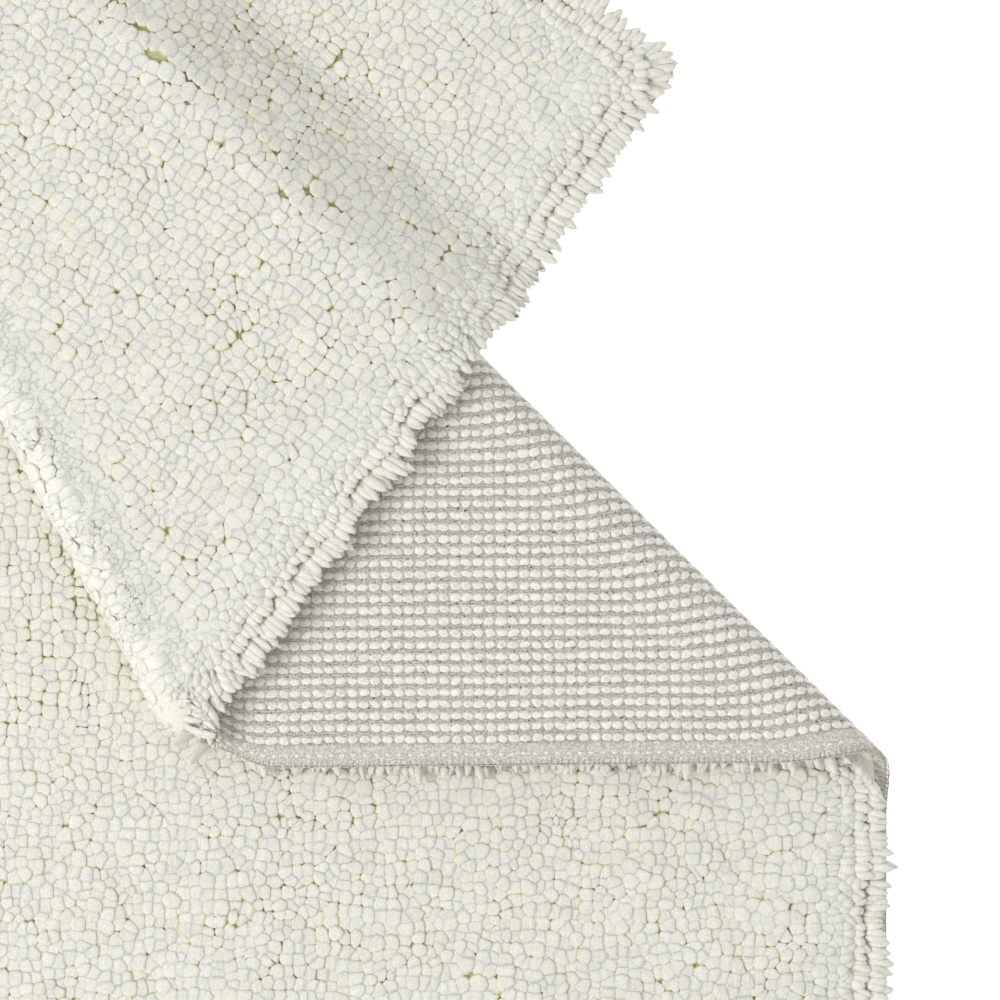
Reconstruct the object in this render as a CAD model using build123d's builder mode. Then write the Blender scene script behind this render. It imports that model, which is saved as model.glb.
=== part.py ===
"""A hand-woven wool bath mat with a cut pile, lying folded over twice on a flat floor.

The mat is a woven ground with rows of wool pile on its face. Its two ends, along the long sides,
are flat-woven bands that are hemmed and overlocked, and its two short sides are wrapped cords.

The first fold turns the mat's face inwards, so that a flap lies with its back up. The second fold
turns the face outwards again, so that the top layer lies face up, crosses the first fold and
droops over it onto the floor.

Lengths are millimetres. A place on the mat while it lies flat is (across, along), counted from
its near left corner. A height is counted from the mat's back towards its face.
"""

from build123d import *
import os
from math import atan, cos, degrees, pi, radians, sin, tan

os.makedirs("parts", exist_ok=True)

# The mat
mat_width = 600.0
mat_length = 900.0
weave_thickness = 3.0
pile_height = 14.0
band_width = 10.0
overlock_thickness = 1.2
stitch_width = 0.8
stitch_height = 0.4
stitch_inset = 5.0
side_wrap_radius = 2.2
side_cord_radius = 1.2

# How it is folded
layer_gap = 0.3
crease_from_near_side = 170.6
crease_from_far_side = 135.6
crease_fan_turn = 17.7
crease_spare = 0.7
hem_spread = 12.5
droop_angle = 35.0
droop_foot_radius = 45.0

# Worked out: the two bends
bend_one_radius = weave_thickness + pile_height + layer_gap / 2
flap_back = 2 * bend_one_radius
bend_two_centre = flap_back + layer_gap / 2
top_back = flap_back + layer_gap
bend_one_half = pi / 2 * (bend_one_radius - weave_thickness / 2)
bend_two_half = pi / 2 * (layer_gap / 2 + weave_thickness / 2)

# Worked out: the droop, seen from its side as a convex bend, a slope and a hollow foot
droop = radians(droop_angle)
droop_bend_radius = bend_one_radius + layer_gap
droop_radii = droop_bend_radius + droop_foot_radius
droop_slope = (top_back - droop_radii * (1 - cos(droop))) / sin(droop)
droop_run = droop_radii * sin(droop) + droop_slope * cos(droop)
droop_path = droop_radii * droop + droop_slope

side_width = 2 * side_wrap_radius
face_height = weave_thickness + pile_height
long_reach = 2 * (mat_width + mat_length)


def heading(degrees):
    """The level unit vector at an angle from +X."""
    return Vector(cos(radians(degrees)), sin(radians(degrees)))


# The first crease runs from a place on the right end, set from the near side, to a place on the
# left end, set from the far side. Both creases run out from one point beyond the mat's left end,
# its apex. Each normal points at the part of the mat that the fold turns over.
crease_fall = (mat_length - crease_from_near_side - crease_from_far_side) / mat_width
crease_one_turn = 90 - degrees(atan(crease_fall))
crease_two_turn = crease_one_turn + crease_fan_turn
crease_one = heading(90 + crease_one_turn)
normal_one = heading(crease_one_turn)
crease_two = heading(90 + 2 * crease_one_turn - crease_two_turn)
normal_two = heading(180 + 2 * crease_one_turn - crease_two_turn)
crease_fan = radians(crease_fan_turn)
apex_outset = (bend_one_half + bend_two_half + crease_spare) * sin(radians(crease_two_turn)) / sin(crease_fan)
apex = Vector(-apex_outset, mat_length - crease_from_far_side + crease_fall * apex_outset)
axis_one = apex - normal_one * bend_one_half
axis_two = apex - normal_two * bend_two_half


def mirrored(point, normal):
    """A point turned over across the crease through the apex with this normal."""
    return point - normal * (2 * (point - apex).dot(normal))


def on_base(point):
    """The base layer lies as the flat mat does."""
    return point


def on_flap(point):
    """The flap is mirrored, and the weave's shear swings its right end out by the hem spread."""
    swung = Vector(point.X * (1 + hem_spread / mat_width), point.Y)
    return mirrored(swung, normal_one)


def on_top(point):
    """The top layer is mirrored twice, before any of it droops."""
    return mirrored(mirrored(point, normal_one), normal_two)


def drooped(point):
    """Where a point of the top layer stands in plan once the layer droops past the first fold."""
    past = (point - axis_one).dot(normal_one)
    if past <= 0:
        return point
    if past >= droop_path:
        return point + normal_one * (droop_run - droop_path)
    return point + normal_one * (past * (droop_run / droop_path - 1))



def patch(across_low, across_high, along_low, along_high):
    """The corners of a rectangle of the flat mat."""
    return [
        Vector(across_low, along_low),
        Vector(across_high, along_low),
        Vector(across_high, along_high),
        Vector(across_low, along_high),
    ]


def trimmed(corners, on_line, normal):
    """The part of an outline that lies behind a line."""
    kept = []
    for here, there in zip(corners, corners[1:] + corners[:1]):
        here_past = (here - on_line).dot(normal)
        there_past = (there - on_line).dot(normal)
        if here_past <= 0:
            kept.append(here)
        if here_past * there_past < 0:
            kept.append(here + (there - here) * (here_past / (here_past - there_past)))
    return kept


def base_outline(corners):
    """The part of a patch that lies on the floor, up to the first bend."""
    return trimmed(corners, axis_one, normal_one)


def flap_outline(corners):
    """The part of a patch that lies back up, between the two bends."""
    laid = [on_flap(corner) for corner in corners]
    return trimmed(trimmed(laid, axis_one, normal_one), axis_two, normal_two)


def top_outlines(corners):
    """The part of a patch past the second bend: level, drooping, and level again on the floor."""
    laid = trimmed([on_top(corner) for corner in corners], axis_two, normal_two)
    foot = axis_one + normal_one * droop_path
    level = trimmed(laid, axis_one, normal_one)
    sloping = trimmed(trimmed(laid, axis_one, -normal_one), foot, normal_one)
    grounded = trimmed(laid, foot, -normal_one)
    stretches = [level, sloping, grounded]
    return [[drooped(corner) for corner in stretch] for stretch in stretches if len(stretch) > 2]


def edge_crossing(lay, across, on_line, normal):
    """Where a lengthwise line of the mat, as one layer lays it, meets a line in plan."""
    start = lay(Vector(across, 0))
    end = lay(Vector(across, mat_length))
    start_past = (start - on_line).dot(normal)
    end_past = (end - on_line).dot(normal)
    return start + (end - start) * (start_past / (start_past - end_past))


def level_sheet(corners, bottom, top):
    """A level sheet with a given plan outline, between two heights above the floor."""
    with BuildPart() as sheet:
        with BuildSketch(Plane.XY.offset(bottom)):
            Polygon(*corners, align=None)
        extrude(amount=top - bottom)
    return sheet.part


def first_bend_end(across, height):
    """The slanting plane that ends the first bend along a lengthwise line, for cloth at a height."""
    start = edge_crossing(on_base, across, axis_one, normal_one) + Vector(0, 0, height)
    end = edge_crossing(on_flap, across, axis_one, normal_one) + Vector(0, 0, flap_back - height)
    return Plane(origin=start, x_dir=normal_one, z_dir=normal_one.cross(end - start))


def second_bend_end(across, height):
    """The slanting plane that ends the second bend along a lengthwise line, for cloth at a height."""
    start = edge_crossing(on_flap, across, axis_two, normal_two) + Vector(0, 0, flap_back - height)
    end = edge_crossing(on_top, across, axis_two, normal_two) + Vector(0, 0, top_back + height)
    return Plane(origin=start, x_dir=normal_two, z_dir=(end - start).cross(normal_two))


def second_bend_square_end(lay, across):
    """The upright plane square to the second crease where a layer's lengthwise line meets it."""
    return Plane(origin=edge_crossing(lay, across, axis_two, normal_two), x_dir=normal_two, z_dir=-crease_two)


def first_bend(ends, low, high, floor_side=True, flap_side=True):
    """The first fold's half tube, face inwards, or only the quarter on the floor's or flap's side."""
    outer = bend_one_radius - low
    inner = bend_one_radius - high
    with BuildPart() as bend:
        with BuildSketch(Plane(origin=axis_one, x_dir=normal_one, z_dir=-crease_one)):
            with Locations((0, bend_one_radius)):
                Circle(outer)
                Circle(inner, mode=Mode.SUBTRACT)
            with Locations((-outer, bend_one_radius)):
                Rectangle(2 * outer, 2 * outer, mode=Mode.SUBTRACT)
            if not flap_side:
                with Locations((0, 2 * bend_one_radius - layer_gap / 2)):
                    Rectangle(4 * outer, 2 * bend_one_radius, mode=Mode.SUBTRACT)
            if not floor_side:
                with Locations((0, layer_gap / 2)):
                    Rectangle(4 * outer, 2 * bend_one_radius, mode=Mode.SUBTRACT)
        extrude(amount=long_reach, both=True)
        split(bisect_by=ends[0], keep=Keep.TOP)
        split(bisect_by=ends[1], keep=Keep.BOTTOM)
    return bend.part


def second_bend(ends, low, high):
    """The second fold's half tube, face outwards."""
    outer = layer_gap / 2 + high
    inner = layer_gap / 2 + low
    with BuildPart() as bend:
        with BuildSketch(Plane(origin=axis_two, x_dir=-normal_two, z_dir=-crease_two)):
            with Locations((0, bend_two_centre)):
                Circle(outer)
                Circle(inner, mode=Mode.SUBTRACT)
            with Locations((outer, bend_two_centre)):
                Rectangle(2 * outer, 2 * outer, mode=Mode.SUBTRACT)
        extrude(amount=long_reach, both=True)
        split(bisect_by=ends[0], keep=Keep.TOP)
        split(bisect_by=ends[1], keep=Keep.BOTTOM)
    return bend.part


def droop_line(height):
    """The droop's corners, seen from the side, at a height above the cloth's back."""
    lean = (droop_bend_radius + height) * tan(droop / 2)
    foot_lean = droop_run - (droop_foot_radius - height) * tan(droop / 2)
    return [
        (-long_reach, top_back + height),
        (lean, top_back + height),
        (foot_lean, height),
        (long_reach, height),
    ]


def draped_sheet(patch_corners, low, high):
    """The top layer over a patch: level, over the first fold, down the droop and along the floor."""
    side = Plane(origin=axis_one, x_dir=normal_one, z_dir=-crease_one)
    low_radii = [droop_bend_radius + low, droop_foot_radius - low]
    high_radii = [droop_bend_radius + high, droop_foot_radius - high]
    with BuildPart() as sheet:
        with BuildSketch(side):
            with BuildLine():
                under = FilletPolyline(*droop_line(low), radius=low_radii)
                over = FilletPolyline(*droop_line(high), radius=high_radii)
                Line(under @ 0, over @ 0)
                Line(under @ 1, over @ 1)
            make_face()
        extrude(amount=long_reach, both=True)
        with BuildSketch(Plane.XY.offset(-side_width)):
            for corners in top_outlines(patch_corners):
                Polygon(*corners, align=None)
        extrude(amount=top_back + 2 * face_height, mode=Mode.INTERSECT)
    return sheet.part


# The pile reaches from end band to end band, and from side cord to side cord.
ground_low = band_width
ground_high = mat_width - band_width
weave_middle = weave_thickness / 2
pile_patch = patch(ground_low, ground_high, side_width, mat_length - side_width)
pile_ends_one = [first_bend_end(across, weave_middle) for across in (ground_low, ground_high)]
pile_ends_two = [second_bend_square_end(on_flap, ground_low), second_bend_square_end(on_top, ground_high)]
fold_pile_bend = second_bend(pile_ends_two, weave_thickness, face_height)

# The origin is the middle of the folded mat's footprint. From left to right that reaches from the
# second fold's pile to the lip where the overlocked edge turns round the first fold.
overlock_high = mat_width + overlock_thickness
lip_ends = [first_bend_end(across, weave_middle) for across in (mat_width, overlock_high)]
lip = first_bend(lip_ends, 0, weave_thickness)
leftmost = fold_pile_bend.bounding_box().min.X
rightmost = lip.bounding_box().max.X
farthest = drooped(on_top(Vector(0, mat_length))).Y
middle = Vector((leftmost + rightmost) / 2, farthest / 2)


def folded_strip(across_low, across_high, low, high):
    """A strip of the mat from side cord to side cord, through both folds and down the droop."""
    corners = patch(across_low, across_high, side_width, mat_length - side_width)
    height = (low + high) / 2
    ends_one = [first_bend_end(across, height) for across in (across_low, across_high)]
    ends_two = [second_bend_end(across, height) for across in (across_low, across_high)]
    stretches = [
        level_sheet(base_outline(corners), low, high),
        first_bend(ends_one, low, high),
        level_sheet(flap_outline(corners), flap_back - high, flap_back - low),
        second_bend(ends_two, low, high),
        draped_sheet(corners, low, high),
    ]
    with BuildPart() as strip:
        with Locations(-middle):
            for stretch in stretches:
                add(stretch)
    return strip


# The woven ground: warp and weft, between the end bands
ground_weave = folded_strip(ground_low, ground_high, 0, weave_thickness)
ground_weave.part.label = "ground_weave"
export_step(ground_weave.part, "parts/ground_weave.step")

# The flat-woven end bands, with no pile
right_end_band = folded_strip(ground_high, mat_width, 0, weave_thickness)
right_end_band.part.label = "right_end_band"
export_step(right_end_band.part, "parts/right_end_band.step")

left_end_band = folded_strip(0, ground_low, 0, weave_thickness)
left_end_band.part.label = "left_end_band"
export_step(left_end_band.part, "parts/left_end_band.step")

# The overlocking thread along the outer edge of each band
right_overlock = folded_strip(mat_width, overlock_high, 0, weave_thickness)
right_overlock.part.label = "right_overlock"
export_step(right_overlock.part, "parts/right_overlock.step")

left_overlock = folded_strip(-overlock_thickness, 0, 0, weave_thickness)
left_overlock.part.label = "left_overlock"
export_step(left_overlock.part, "parts/left_overlock.step")

# The hem stitching along each band, on its face
stitch_low = stitch_inset - stitch_width / 2
stitch_high = stitch_inset + stitch_width / 2
stitch_top = weave_thickness + stitch_height
right_hem_stitch = folded_strip(mat_width - stitch_high, mat_width - stitch_low, weave_thickness, stitch_top)
right_hem_stitch.part.label = "right_hem_stitch"
export_step(right_hem_stitch.part, "parts/right_hem_stitch.step")

left_hem_stitch = folded_strip(stitch_low, stitch_high, weave_thickness, stitch_top)
left_hem_stitch.part.label = "left_hem_stitch"
export_step(left_hem_stitch.part, "parts/left_hem_stitch.step")

# The pile, one solid for each way that the folds lay it
base_pile_sheet = level_sheet(base_outline(pile_patch), weave_thickness, face_height)
base_pile_bend = first_bend(pile_ends_one, weave_thickness, face_height, flap_side=False)
with BuildPart() as base_pile:
    with Locations(-middle):
        add(base_pile_sheet)
        add(base_pile_bend)
base_pile.part.label = "base_pile"
export_step(base_pile.part, "parts/base_pile.step")

turned_bottom = flap_back - face_height
turned_top = flap_back - weave_thickness
turned_pile_sheet = level_sheet(flap_outline(pile_patch), turned_bottom, turned_top)
turned_pile_bend = first_bend(pile_ends_one, weave_thickness, face_height, floor_side=False)
with BuildPart() as turned_pile:
    with Locations(-middle):
        add(turned_pile_sheet)
        add(turned_pile_bend)
turned_pile.part.label = "turned_pile"
export_step(turned_pile.part, "parts/turned_pile.step")

with BuildPart() as fold_pile:
    with Locations(-middle):
        add(fold_pile_bend)
fold_pile.part.label = "fold_pile"
export_step(fold_pile.part, "parts/fold_pile.step")

top_pile_sheet = draped_sheet(pile_patch, weave_thickness, face_height)
with BuildPart() as top_pile:
    with Locations(-middle):
        add(top_pile_sheet)
top_pile.part.label = "top_pile"
export_step(top_pile.part, "parts/top_pile.step")


def on_floor_end(point):
    """The top layer past the foot of its droop."""
    return drooped(on_top(point))


def side_plane(lay, along):
    """The plane square to a short side of the mat at its left end, with its middle on the cord."""
    left = lay(Vector(0, along)) - middle
    right = lay(Vector(mat_width, along)) - middle
    return Plane(origin=left + Vector(0, 0, side_wrap_radius), z_dir=right - left)


# The two short sides: a cord of outer warps, and the wool yarn that is wrapped round it
near_side = side_plane(on_base, side_wrap_radius)
with BuildPart() as near_side_cord:
    with BuildSketch(near_side):
        Circle(side_cord_radius)
    extrude(amount=mat_width)
near_side_cord.part.label = "near_side_cord"
export_step(near_side_cord.part, "parts/near_side_cord.step")

with BuildPart() as near_side_wrap:
    with BuildSketch(near_side):
        Circle(side_wrap_radius)
        Circle(side_cord_radius, mode=Mode.SUBTRACT)
    extrude(amount=mat_width)
near_side_wrap.part.label = "near_side_wrap"
export_step(near_side_wrap.part, "parts/near_side_wrap.step")

far_side = side_plane(on_floor_end, mat_length - side_wrap_radius)
with BuildPart() as far_side_cord:
    with BuildSketch(far_side):
        Circle(side_cord_radius)
    extrude(amount=mat_width)
far_side_cord.part.label = "far_side_cord"
export_step(far_side_cord.part, "parts/far_side_cord.step")

with BuildPart() as far_side_wrap:
    with BuildSketch(far_side):
        Circle(side_wrap_radius)
        Circle(side_cord_radius, mode=Mode.SUBTRACT)
    extrude(amount=mat_width)
far_side_wrap.part.label = "far_side_wrap"
export_step(far_side_wrap.part, "parts/far_side_wrap.step")
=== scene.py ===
"""Looks of a hand-knotted wool bath mat that lies folded back on itself.

Every surface is first laid out on the flat mat, as a place across it, a place along it and a
height from the back of the weave towards the pile, all in millimetres. FoldedLay then carries
that flat place to where it lies in the folded mat. Meshes are written in metres.
"""

from __future__ import annotations

import logging
import math
from dataclasses import dataclass, field
from enum import Enum

import bpy
import numpy as np
from numpy.typing import NDArray
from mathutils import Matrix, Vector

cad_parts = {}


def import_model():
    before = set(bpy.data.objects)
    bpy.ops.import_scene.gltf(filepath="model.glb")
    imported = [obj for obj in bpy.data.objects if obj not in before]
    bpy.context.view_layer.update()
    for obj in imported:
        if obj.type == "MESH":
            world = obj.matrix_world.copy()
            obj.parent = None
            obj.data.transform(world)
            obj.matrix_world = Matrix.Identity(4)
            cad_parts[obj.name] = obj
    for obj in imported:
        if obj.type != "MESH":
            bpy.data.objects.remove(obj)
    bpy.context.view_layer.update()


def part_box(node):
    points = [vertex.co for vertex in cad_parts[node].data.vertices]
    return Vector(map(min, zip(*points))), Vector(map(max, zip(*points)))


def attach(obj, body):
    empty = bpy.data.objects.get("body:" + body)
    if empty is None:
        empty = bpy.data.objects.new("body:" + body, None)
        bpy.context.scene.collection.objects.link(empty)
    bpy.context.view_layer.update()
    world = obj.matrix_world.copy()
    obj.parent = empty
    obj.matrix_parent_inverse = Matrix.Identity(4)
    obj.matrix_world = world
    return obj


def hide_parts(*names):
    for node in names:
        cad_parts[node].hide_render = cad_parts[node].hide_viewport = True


Array = NDArray[np.float64]
Whole = NDArray[np.int64]
Mask = NDArray[np.bool_]
Colour = tuple[float, float, float]
Socket = bpy.types.NodeSocket

LOG = logging.getLogger("bath_mat")
MILLIMETRE = 0.001
SOFTNESS = 13.0
BEND_STEP = 0.25
BEND_LINE = np.arange(-160.0, 240.0, BEND_STEP)
AIM_ACROSS, AIM_ALONG = 415.4, 282.2


# ---------------------------------------------------------------- small helpers


def unit(vectors: Array) -> Array:
    """Vectors scaled to length one along their last axis."""
    return vectors / np.maximum(np.linalg.norm(vectors, axis=-1, keepdims=True), 1e-9)


def soft_step(values: Array) -> Array:
    """A rise from 0 to 1 that starts and ends level: 3x^2 - 2x^3, with x held to 0..1."""
    held = np.clip(values, 0.0, 1.0)
    return held * held * (3.0 - 2.0 * held)


def heading(turn: float) -> Array:
    """The level unit vector at an angle in degrees from +X."""
    return np.array([math.cos(math.radians(turn)), math.sin(math.radians(turn))])


def ripples(across: Array, along: Array, length: float, seed: int, count: int = 9) -> Array:
    """A smooth random field: sine waves in random directions, added up.

    Their sum is divided by the root of half their count, which keeps its size for any count.

    Args:
        across: Places across the flat mat, in millimetres.
        along: Places along the flat mat, in millimetres.
        length: The typical wavelength, in millimetres.
        seed: The seed of the waves' directions, lengths and phases.
        count: How many waves are added.

    Returns:
        Values of about -2 to 2, of the places' shape.
    """
    rng = np.random.default_rng(seed)
    turns = rng.uniform(0.0, 2.0 * math.pi, count)
    pitches = length * rng.uniform(0.6, 1.6, count)
    phases = rng.uniform(0.0, 2.0 * math.pi, count)
    total = np.zeros(np.broadcast(across, along).shape)
    for turn, pitch, phase in zip(turns, pitches, phases):
        reach = across * math.cos(turn) + along * math.sin(turn)
        total = total + np.sin(2.0 * math.pi * reach / pitch + phase)
    return total / math.sqrt(count / 2.0)


def mirrored(offset: Array, normal: Array) -> Array:
    """Offsets turned over across the line through their origin that has this normal."""
    return offset - 2 * (offset @ normal)[..., None] * normal


# ---------------------------------------------------------------- the folded lay


@dataclass(frozen=True)
class FoldedLay:
    """Carries places on the flat mat to where they lie once it is folded twice.

    The mat turns over across crease one, so that its back shows, and then over crease two, which
    runs from the same apex, so that its pile shows again. What passes the first fold droops to
    the floor. Sizes are in millimetres and repeat the part's own.
    """

    corner: tuple[float, float]
    width: float = 600.0
    length: float = 900.0
    weave: float = 3.0
    pile: float = 14.0
    gap: float = 0.3
    crease_from_near: float = 170.6
    crease_from_far: float = 135.6
    fan_turn: float = 17.7
    crease_spare: float = 0.7
    hem_spread: float = 12.5
    droop_turn: float = 35.0
    foot_radius: float = 45.0
    swing_start: float = -5.0
    swing_end: float = 62.0

    @property
    def bend_one_radius(self) -> float:
        """Radius of the first bend at the back of the weave."""
        return self.weave + self.pile + self.gap / 2

    @property
    def bend_one_path(self) -> float:
        """Length of the first bend along the middle of the weave."""
        return math.pi * (self.bend_one_radius - self.weave / 2)

    @property
    def bend_two_path(self) -> float:
        """Length of the second bend along the middle of the weave."""
        return math.pi * (self.gap / 2 + self.weave / 2)

    @property
    def flap_back(self) -> float:
        """Height of the flap's upward back."""
        return 2 * self.bend_one_radius

    @property
    def top_back(self) -> float:
        """Height of the top layer's downward back."""
        return self.flap_back + self.gap

    @property
    def fall(self) -> float:
        """How far crease one falls along the mat for each step across it."""
        return (self.length - self.crease_from_near - self.crease_from_far) / self.width

    @property
    def turn_one(self) -> float:
        """Direction of crease one's normal, in degrees."""
        return 90.0 - math.degrees(math.atan(self.fall))

    @property
    def normal_one(self) -> Array:
        """Unit vector across crease one, towards what it turns over."""
        return heading(self.turn_one)

    @property
    def normal_two(self) -> Array:
        """Unit vector across crease two where it lies, towards what it turns over."""
        return heading(180.0 + self.turn_one - self.fan_turn)

    @property
    def apex(self) -> Array:
        """The point on the flat mat's plane where both creases start."""
        paths = (self.bend_one_path + self.bend_two_path) / 2 + self.crease_spare
        fan = math.radians(self.fan_turn)
        outset = paths * math.sin(math.radians(self.turn_one) + fan) / math.sin(fan)
        return np.array([-outset, self.length - self.crease_from_far + self.fall * outset])

    def flat_direction(self, direction: Array, folds: int) -> Array:
        """A level direction of a folded layer, as the flat mat has it before that many folds."""
        for normal in (self.normal_two, self.normal_one)[2 - folds :]:
            direction = direction - 2 * normal * float(direction @ normal)
        return direction

    def past_one(self, across: Array, along: Array) -> Array:
        """How far past the start of the first bend a place on the flat mat is."""
        offset = np.stack(np.broadcast_arrays(across, along), -1) - self.apex
        return offset @ self.normal_one + self.bend_one_path / 2

    def past_two(self, across: Array, along: Array) -> Array:
        """How far past the start of the second bend a place on the flat mat is."""
        offset = np.stack(np.broadcast_arrays(across, along), -1) - self.apex
        return offset @ self.flat_direction(self.normal_two, 1) + self.bend_two_path / 2

    def past_crest(self, across: Array, along: Array) -> Array:
        """How far past the crest of the droop a place on the flat mat is, on the top layer."""
        offset = np.stack(np.broadcast_arrays(across, along), -1) - self.apex
        return offset @ self.flat_direction(self.normal_one, 2) + self.bend_one_path / 2

    def droop_line(self, past: Array) -> tuple[Array, Array, Array]:
        """The droop's side view: a convex arc, a slope and a hollow arc down to the floor.

        Args:
            past: Path lengths past the crest, at least 0.

        Returns:
            The level reach, the height of the back above the floor and the downward angle.
        """
        turn = math.radians(self.droop_turn)
        bend = self.bend_one_radius + self.gap
        radii = bend + self.foot_radius
        slope = (self.top_back - radii * (1 - math.cos(turn))) / math.sin(turn)
        ends = np.cumsum([bend * turn, slope, self.foot_radius * turn])
        first = np.clip(past, 0, ends[0]) / bend
        second = np.clip(past - ends[0], 0, slope)
        third = np.clip(past - ends[1], 0, self.foot_radius * turn) / self.foot_radius
        last = np.maximum(past - ends[2], 0)
        reach = bend * np.sin(first) + second * math.cos(turn)
        reach = reach + self.foot_radius * (math.sin(turn) - np.sin(turn - third)) + last
        drop = bend * (1 - np.cos(first)) + second * math.sin(turn)
        drop = drop + self.foot_radius * (np.cos(turn - third) - math.cos(turn))
        return reach, self.top_back - drop, first - third

    def place(self, across: Array, along: Array, height: Array) -> Array:
        """Where a place of the flat mat lies in the folded mat.

        The plan point slides back by the length of a bend that it has passed, and a sine and a
        cosine of the bend's angle carry it round. Past a bend it is mirrored over the crease.

        Args:
            across: Millimetres from the left end.
            along: Millimetres from the near side.
            height: Millimetres from the back of the weave towards the pile.

        Returns:
            Points in millimetres in the part's frame, with x, y and z on the last axis.
        """
        across, along, height = np.broadcast_arrays(
            np.asarray(across, float), np.asarray(along, float), np.asarray(height, float)
        )
        n_one, n_two = self.normal_one, self.normal_two
        swing = soft_step(
            (self.past_one(across, along) - self.swing_start) / (self.swing_end - self.swing_start)
        ) * (1 - soft_step((self.past_two(across, along) + 30.0) / 36.0))
        plan = np.stack([across * (1 + self.hem_spread / self.width * swing), along], -1)

        start_one = self.apex - n_one * self.bend_one_path / 2
        past = (plan - start_one) @ n_one
        angle = np.clip(past / self.bend_one_path, 0, 1) * math.pi
        inner = self.bend_one_radius - height
        slide = inner * np.sin(angle) - np.maximum(past, 0) - np.maximum(past - self.bend_one_path, 0)
        plan = plan + slide[..., None] * n_one
        level = self.bend_one_radius - inner * np.cos(angle)

        start_two = self.apex - n_two * self.bend_two_path / 2
        past = (plan - start_two) @ n_two
        past = np.where(self.past_one(across, along) > self.bend_one_path / 2, past, 0.0)
        angle = np.clip(past / self.bend_two_path, 0, 1) * math.pi
        outer = self.gap / 2 + height
        slide = outer * np.sin(angle) - np.maximum(past, 0) - np.maximum(past - self.bend_two_path, 0)
        plan = plan + slide[..., None] * n_two
        level = np.where(past > 0, self.flap_back + self.gap / 2 - outer * np.cos(angle), level)

        past = np.where(past > 0, (plan - start_one) @ n_one, 0.0)
        reach, back, angle = self.droop_line(np.maximum(past, 0))
        lift = level - self.top_back
        slide = np.where(past > 0, reach - past + lift * np.sin(angle), 0.0)
        plan = plan + slide[..., None] * n_one
        level = np.where(past > 0, back + lift * np.cos(angle), level)
        return np.concatenate([plan + np.array(self.corner), level[..., None]], -1)

    def facing(self, across: Array, along: Array, height: Array) -> Array:
        """The unit direction in which height grows at a place of the flat mat."""
        step = 0.05
        return unit(
            self.place(across, along, height + step) - self.place(across, along, height - step)
        )

    def running(self, across: Array, along: Array, height: Array, step: tuple[float, float]) -> Array:
        """The unit direction in which a place moves when its flat place moves by a step."""
        ahead = self.place(across + step[0], along + step[1], height)
        behind = self.place(across - step[0], along - step[1], height)
        return unit(ahead - behind)


# ---------------------------------------------------------------- meshes


@dataclass
class Surface:
    """A mesh in the making: points in millimetres, faces of mixed size and values at its points."""

    points: Array
    faces: list[Whole]
    values: dict[str, Array] = field(default_factory=dict)
    chart: Array | None = None

    def mesh_object(self, name: str, material: bpy.types.Material) -> bpy.types.Object:
        """Writes the surface into a smooth-shaded Blender object in metres.

        Args:
            name: The piece's name.
            material: The finish of all of its faces.

        Returns:
            The object, at the origin, with its place in its mesh.
        """
        counts = np.concatenate([np.full(len(block), block.shape[1]) for block in self.faces])
        corners = np.concatenate([block.ravel() for block in self.faces]).astype(np.int32)
        mesh = bpy.data.meshes.new(name)
        mesh.vertices.add(len(self.points))
        mesh.vertices.foreach_set("co", (self.points * MILLIMETRE).astype(np.float32).ravel())
        mesh.loops.add(len(corners))
        mesh.loops.foreach_set("vertex_index", corners)
        mesh.polygons.add(len(counts))
        starts = np.concatenate([[0], np.cumsum(counts)[:-1]]).astype(np.int32)
        mesh.polygons.foreach_set("loop_start", starts)
        mesh.update(calc_edges=True)
        mesh.validate()
        mesh.polygons.foreach_set("use_smooth", np.ones(len(mesh.polygons), bool))
        for label, values in self.values.items():
            layer = mesh.attributes.new(label, "FLOAT", "POINT")
            layer.data.foreach_set("value", values.astype(np.float32))
        if self.chart is not None:
            layer = mesh.uv_layers.new(name="lay")
            order = np.zeros(len(mesh.loops), np.int32)
            mesh.loops.foreach_get("vertex_index", order)
            layer.uv.foreach_set("vector", self.chart[order].astype(np.float32).ravel())
        mesh.materials.append(material)
        piece = bpy.data.objects.new(name, mesh)
        bpy.context.scene.collection.objects.link(piece)
        return piece


def ring_faces(rings: int, sides: int, bodies: int, offset: Whole | None = None) -> Whole:
    """The quads of many closed tubes, each of rings rows of sides points, one after another.

    Args:
        rings: Rows of points along each tube.
        sides: Points around each row.
        bodies: How many tubes there are.
        offset: The number of each tube's first point; by default they follow without a break.

    Returns:
        Quads as rows of four point numbers, which face outwards where rows rise along the axis
        and points run counter-clockwise around it.
    """
    ring, side = np.meshgrid(np.arange(rings - 1), np.arange(sides), indexing="ij")
    turn = (side + 1) % sides
    low, high = ring * sides, (ring + 1) * sides
    one = np.stack([low + side, low + turn, high + turn, high + side], -1)
    starts = np.arange(bodies) * rings * sides if offset is None else offset
    return (one.reshape(1, -1, 4) + starts[:, None, None]).reshape(-1, 4)


def tube_faces(rings: int, sides: int) -> list[Whole]:
    """The faces of one closed tube: its quads and the flat faces at its two ends."""
    side = np.arange(sides)
    return [ring_faces(rings, sides, 1), side[::-1][None], (side + (rings - 1) * sides)[None]]


def domed_faces(levels: int, sides: int, starts: Whole) -> list[Whole]:
    """The faces of many domes, each made of rings of points and a peak numbered after them.

    Args:
        levels: Rings of each dome.
        sides: Points around each ring.
        starts: The number of each dome's first point.

    Returns:
        The quads between rings, the triangles up to the peaks and the faces under the first rings.
    """
    side = np.arange(sides)
    last = (levels - 1) * sides
    peak = np.stack([last + side, last + (side + 1) % sides, np.full(sides, levels * sides)], -1)
    return [
        ring_faces(levels, sides, len(starts), starts),
        (peak[None] + starts[:, None, None]).reshape(-1, 3),
        side[::-1][None] + starts[:, None],
    ]


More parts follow.
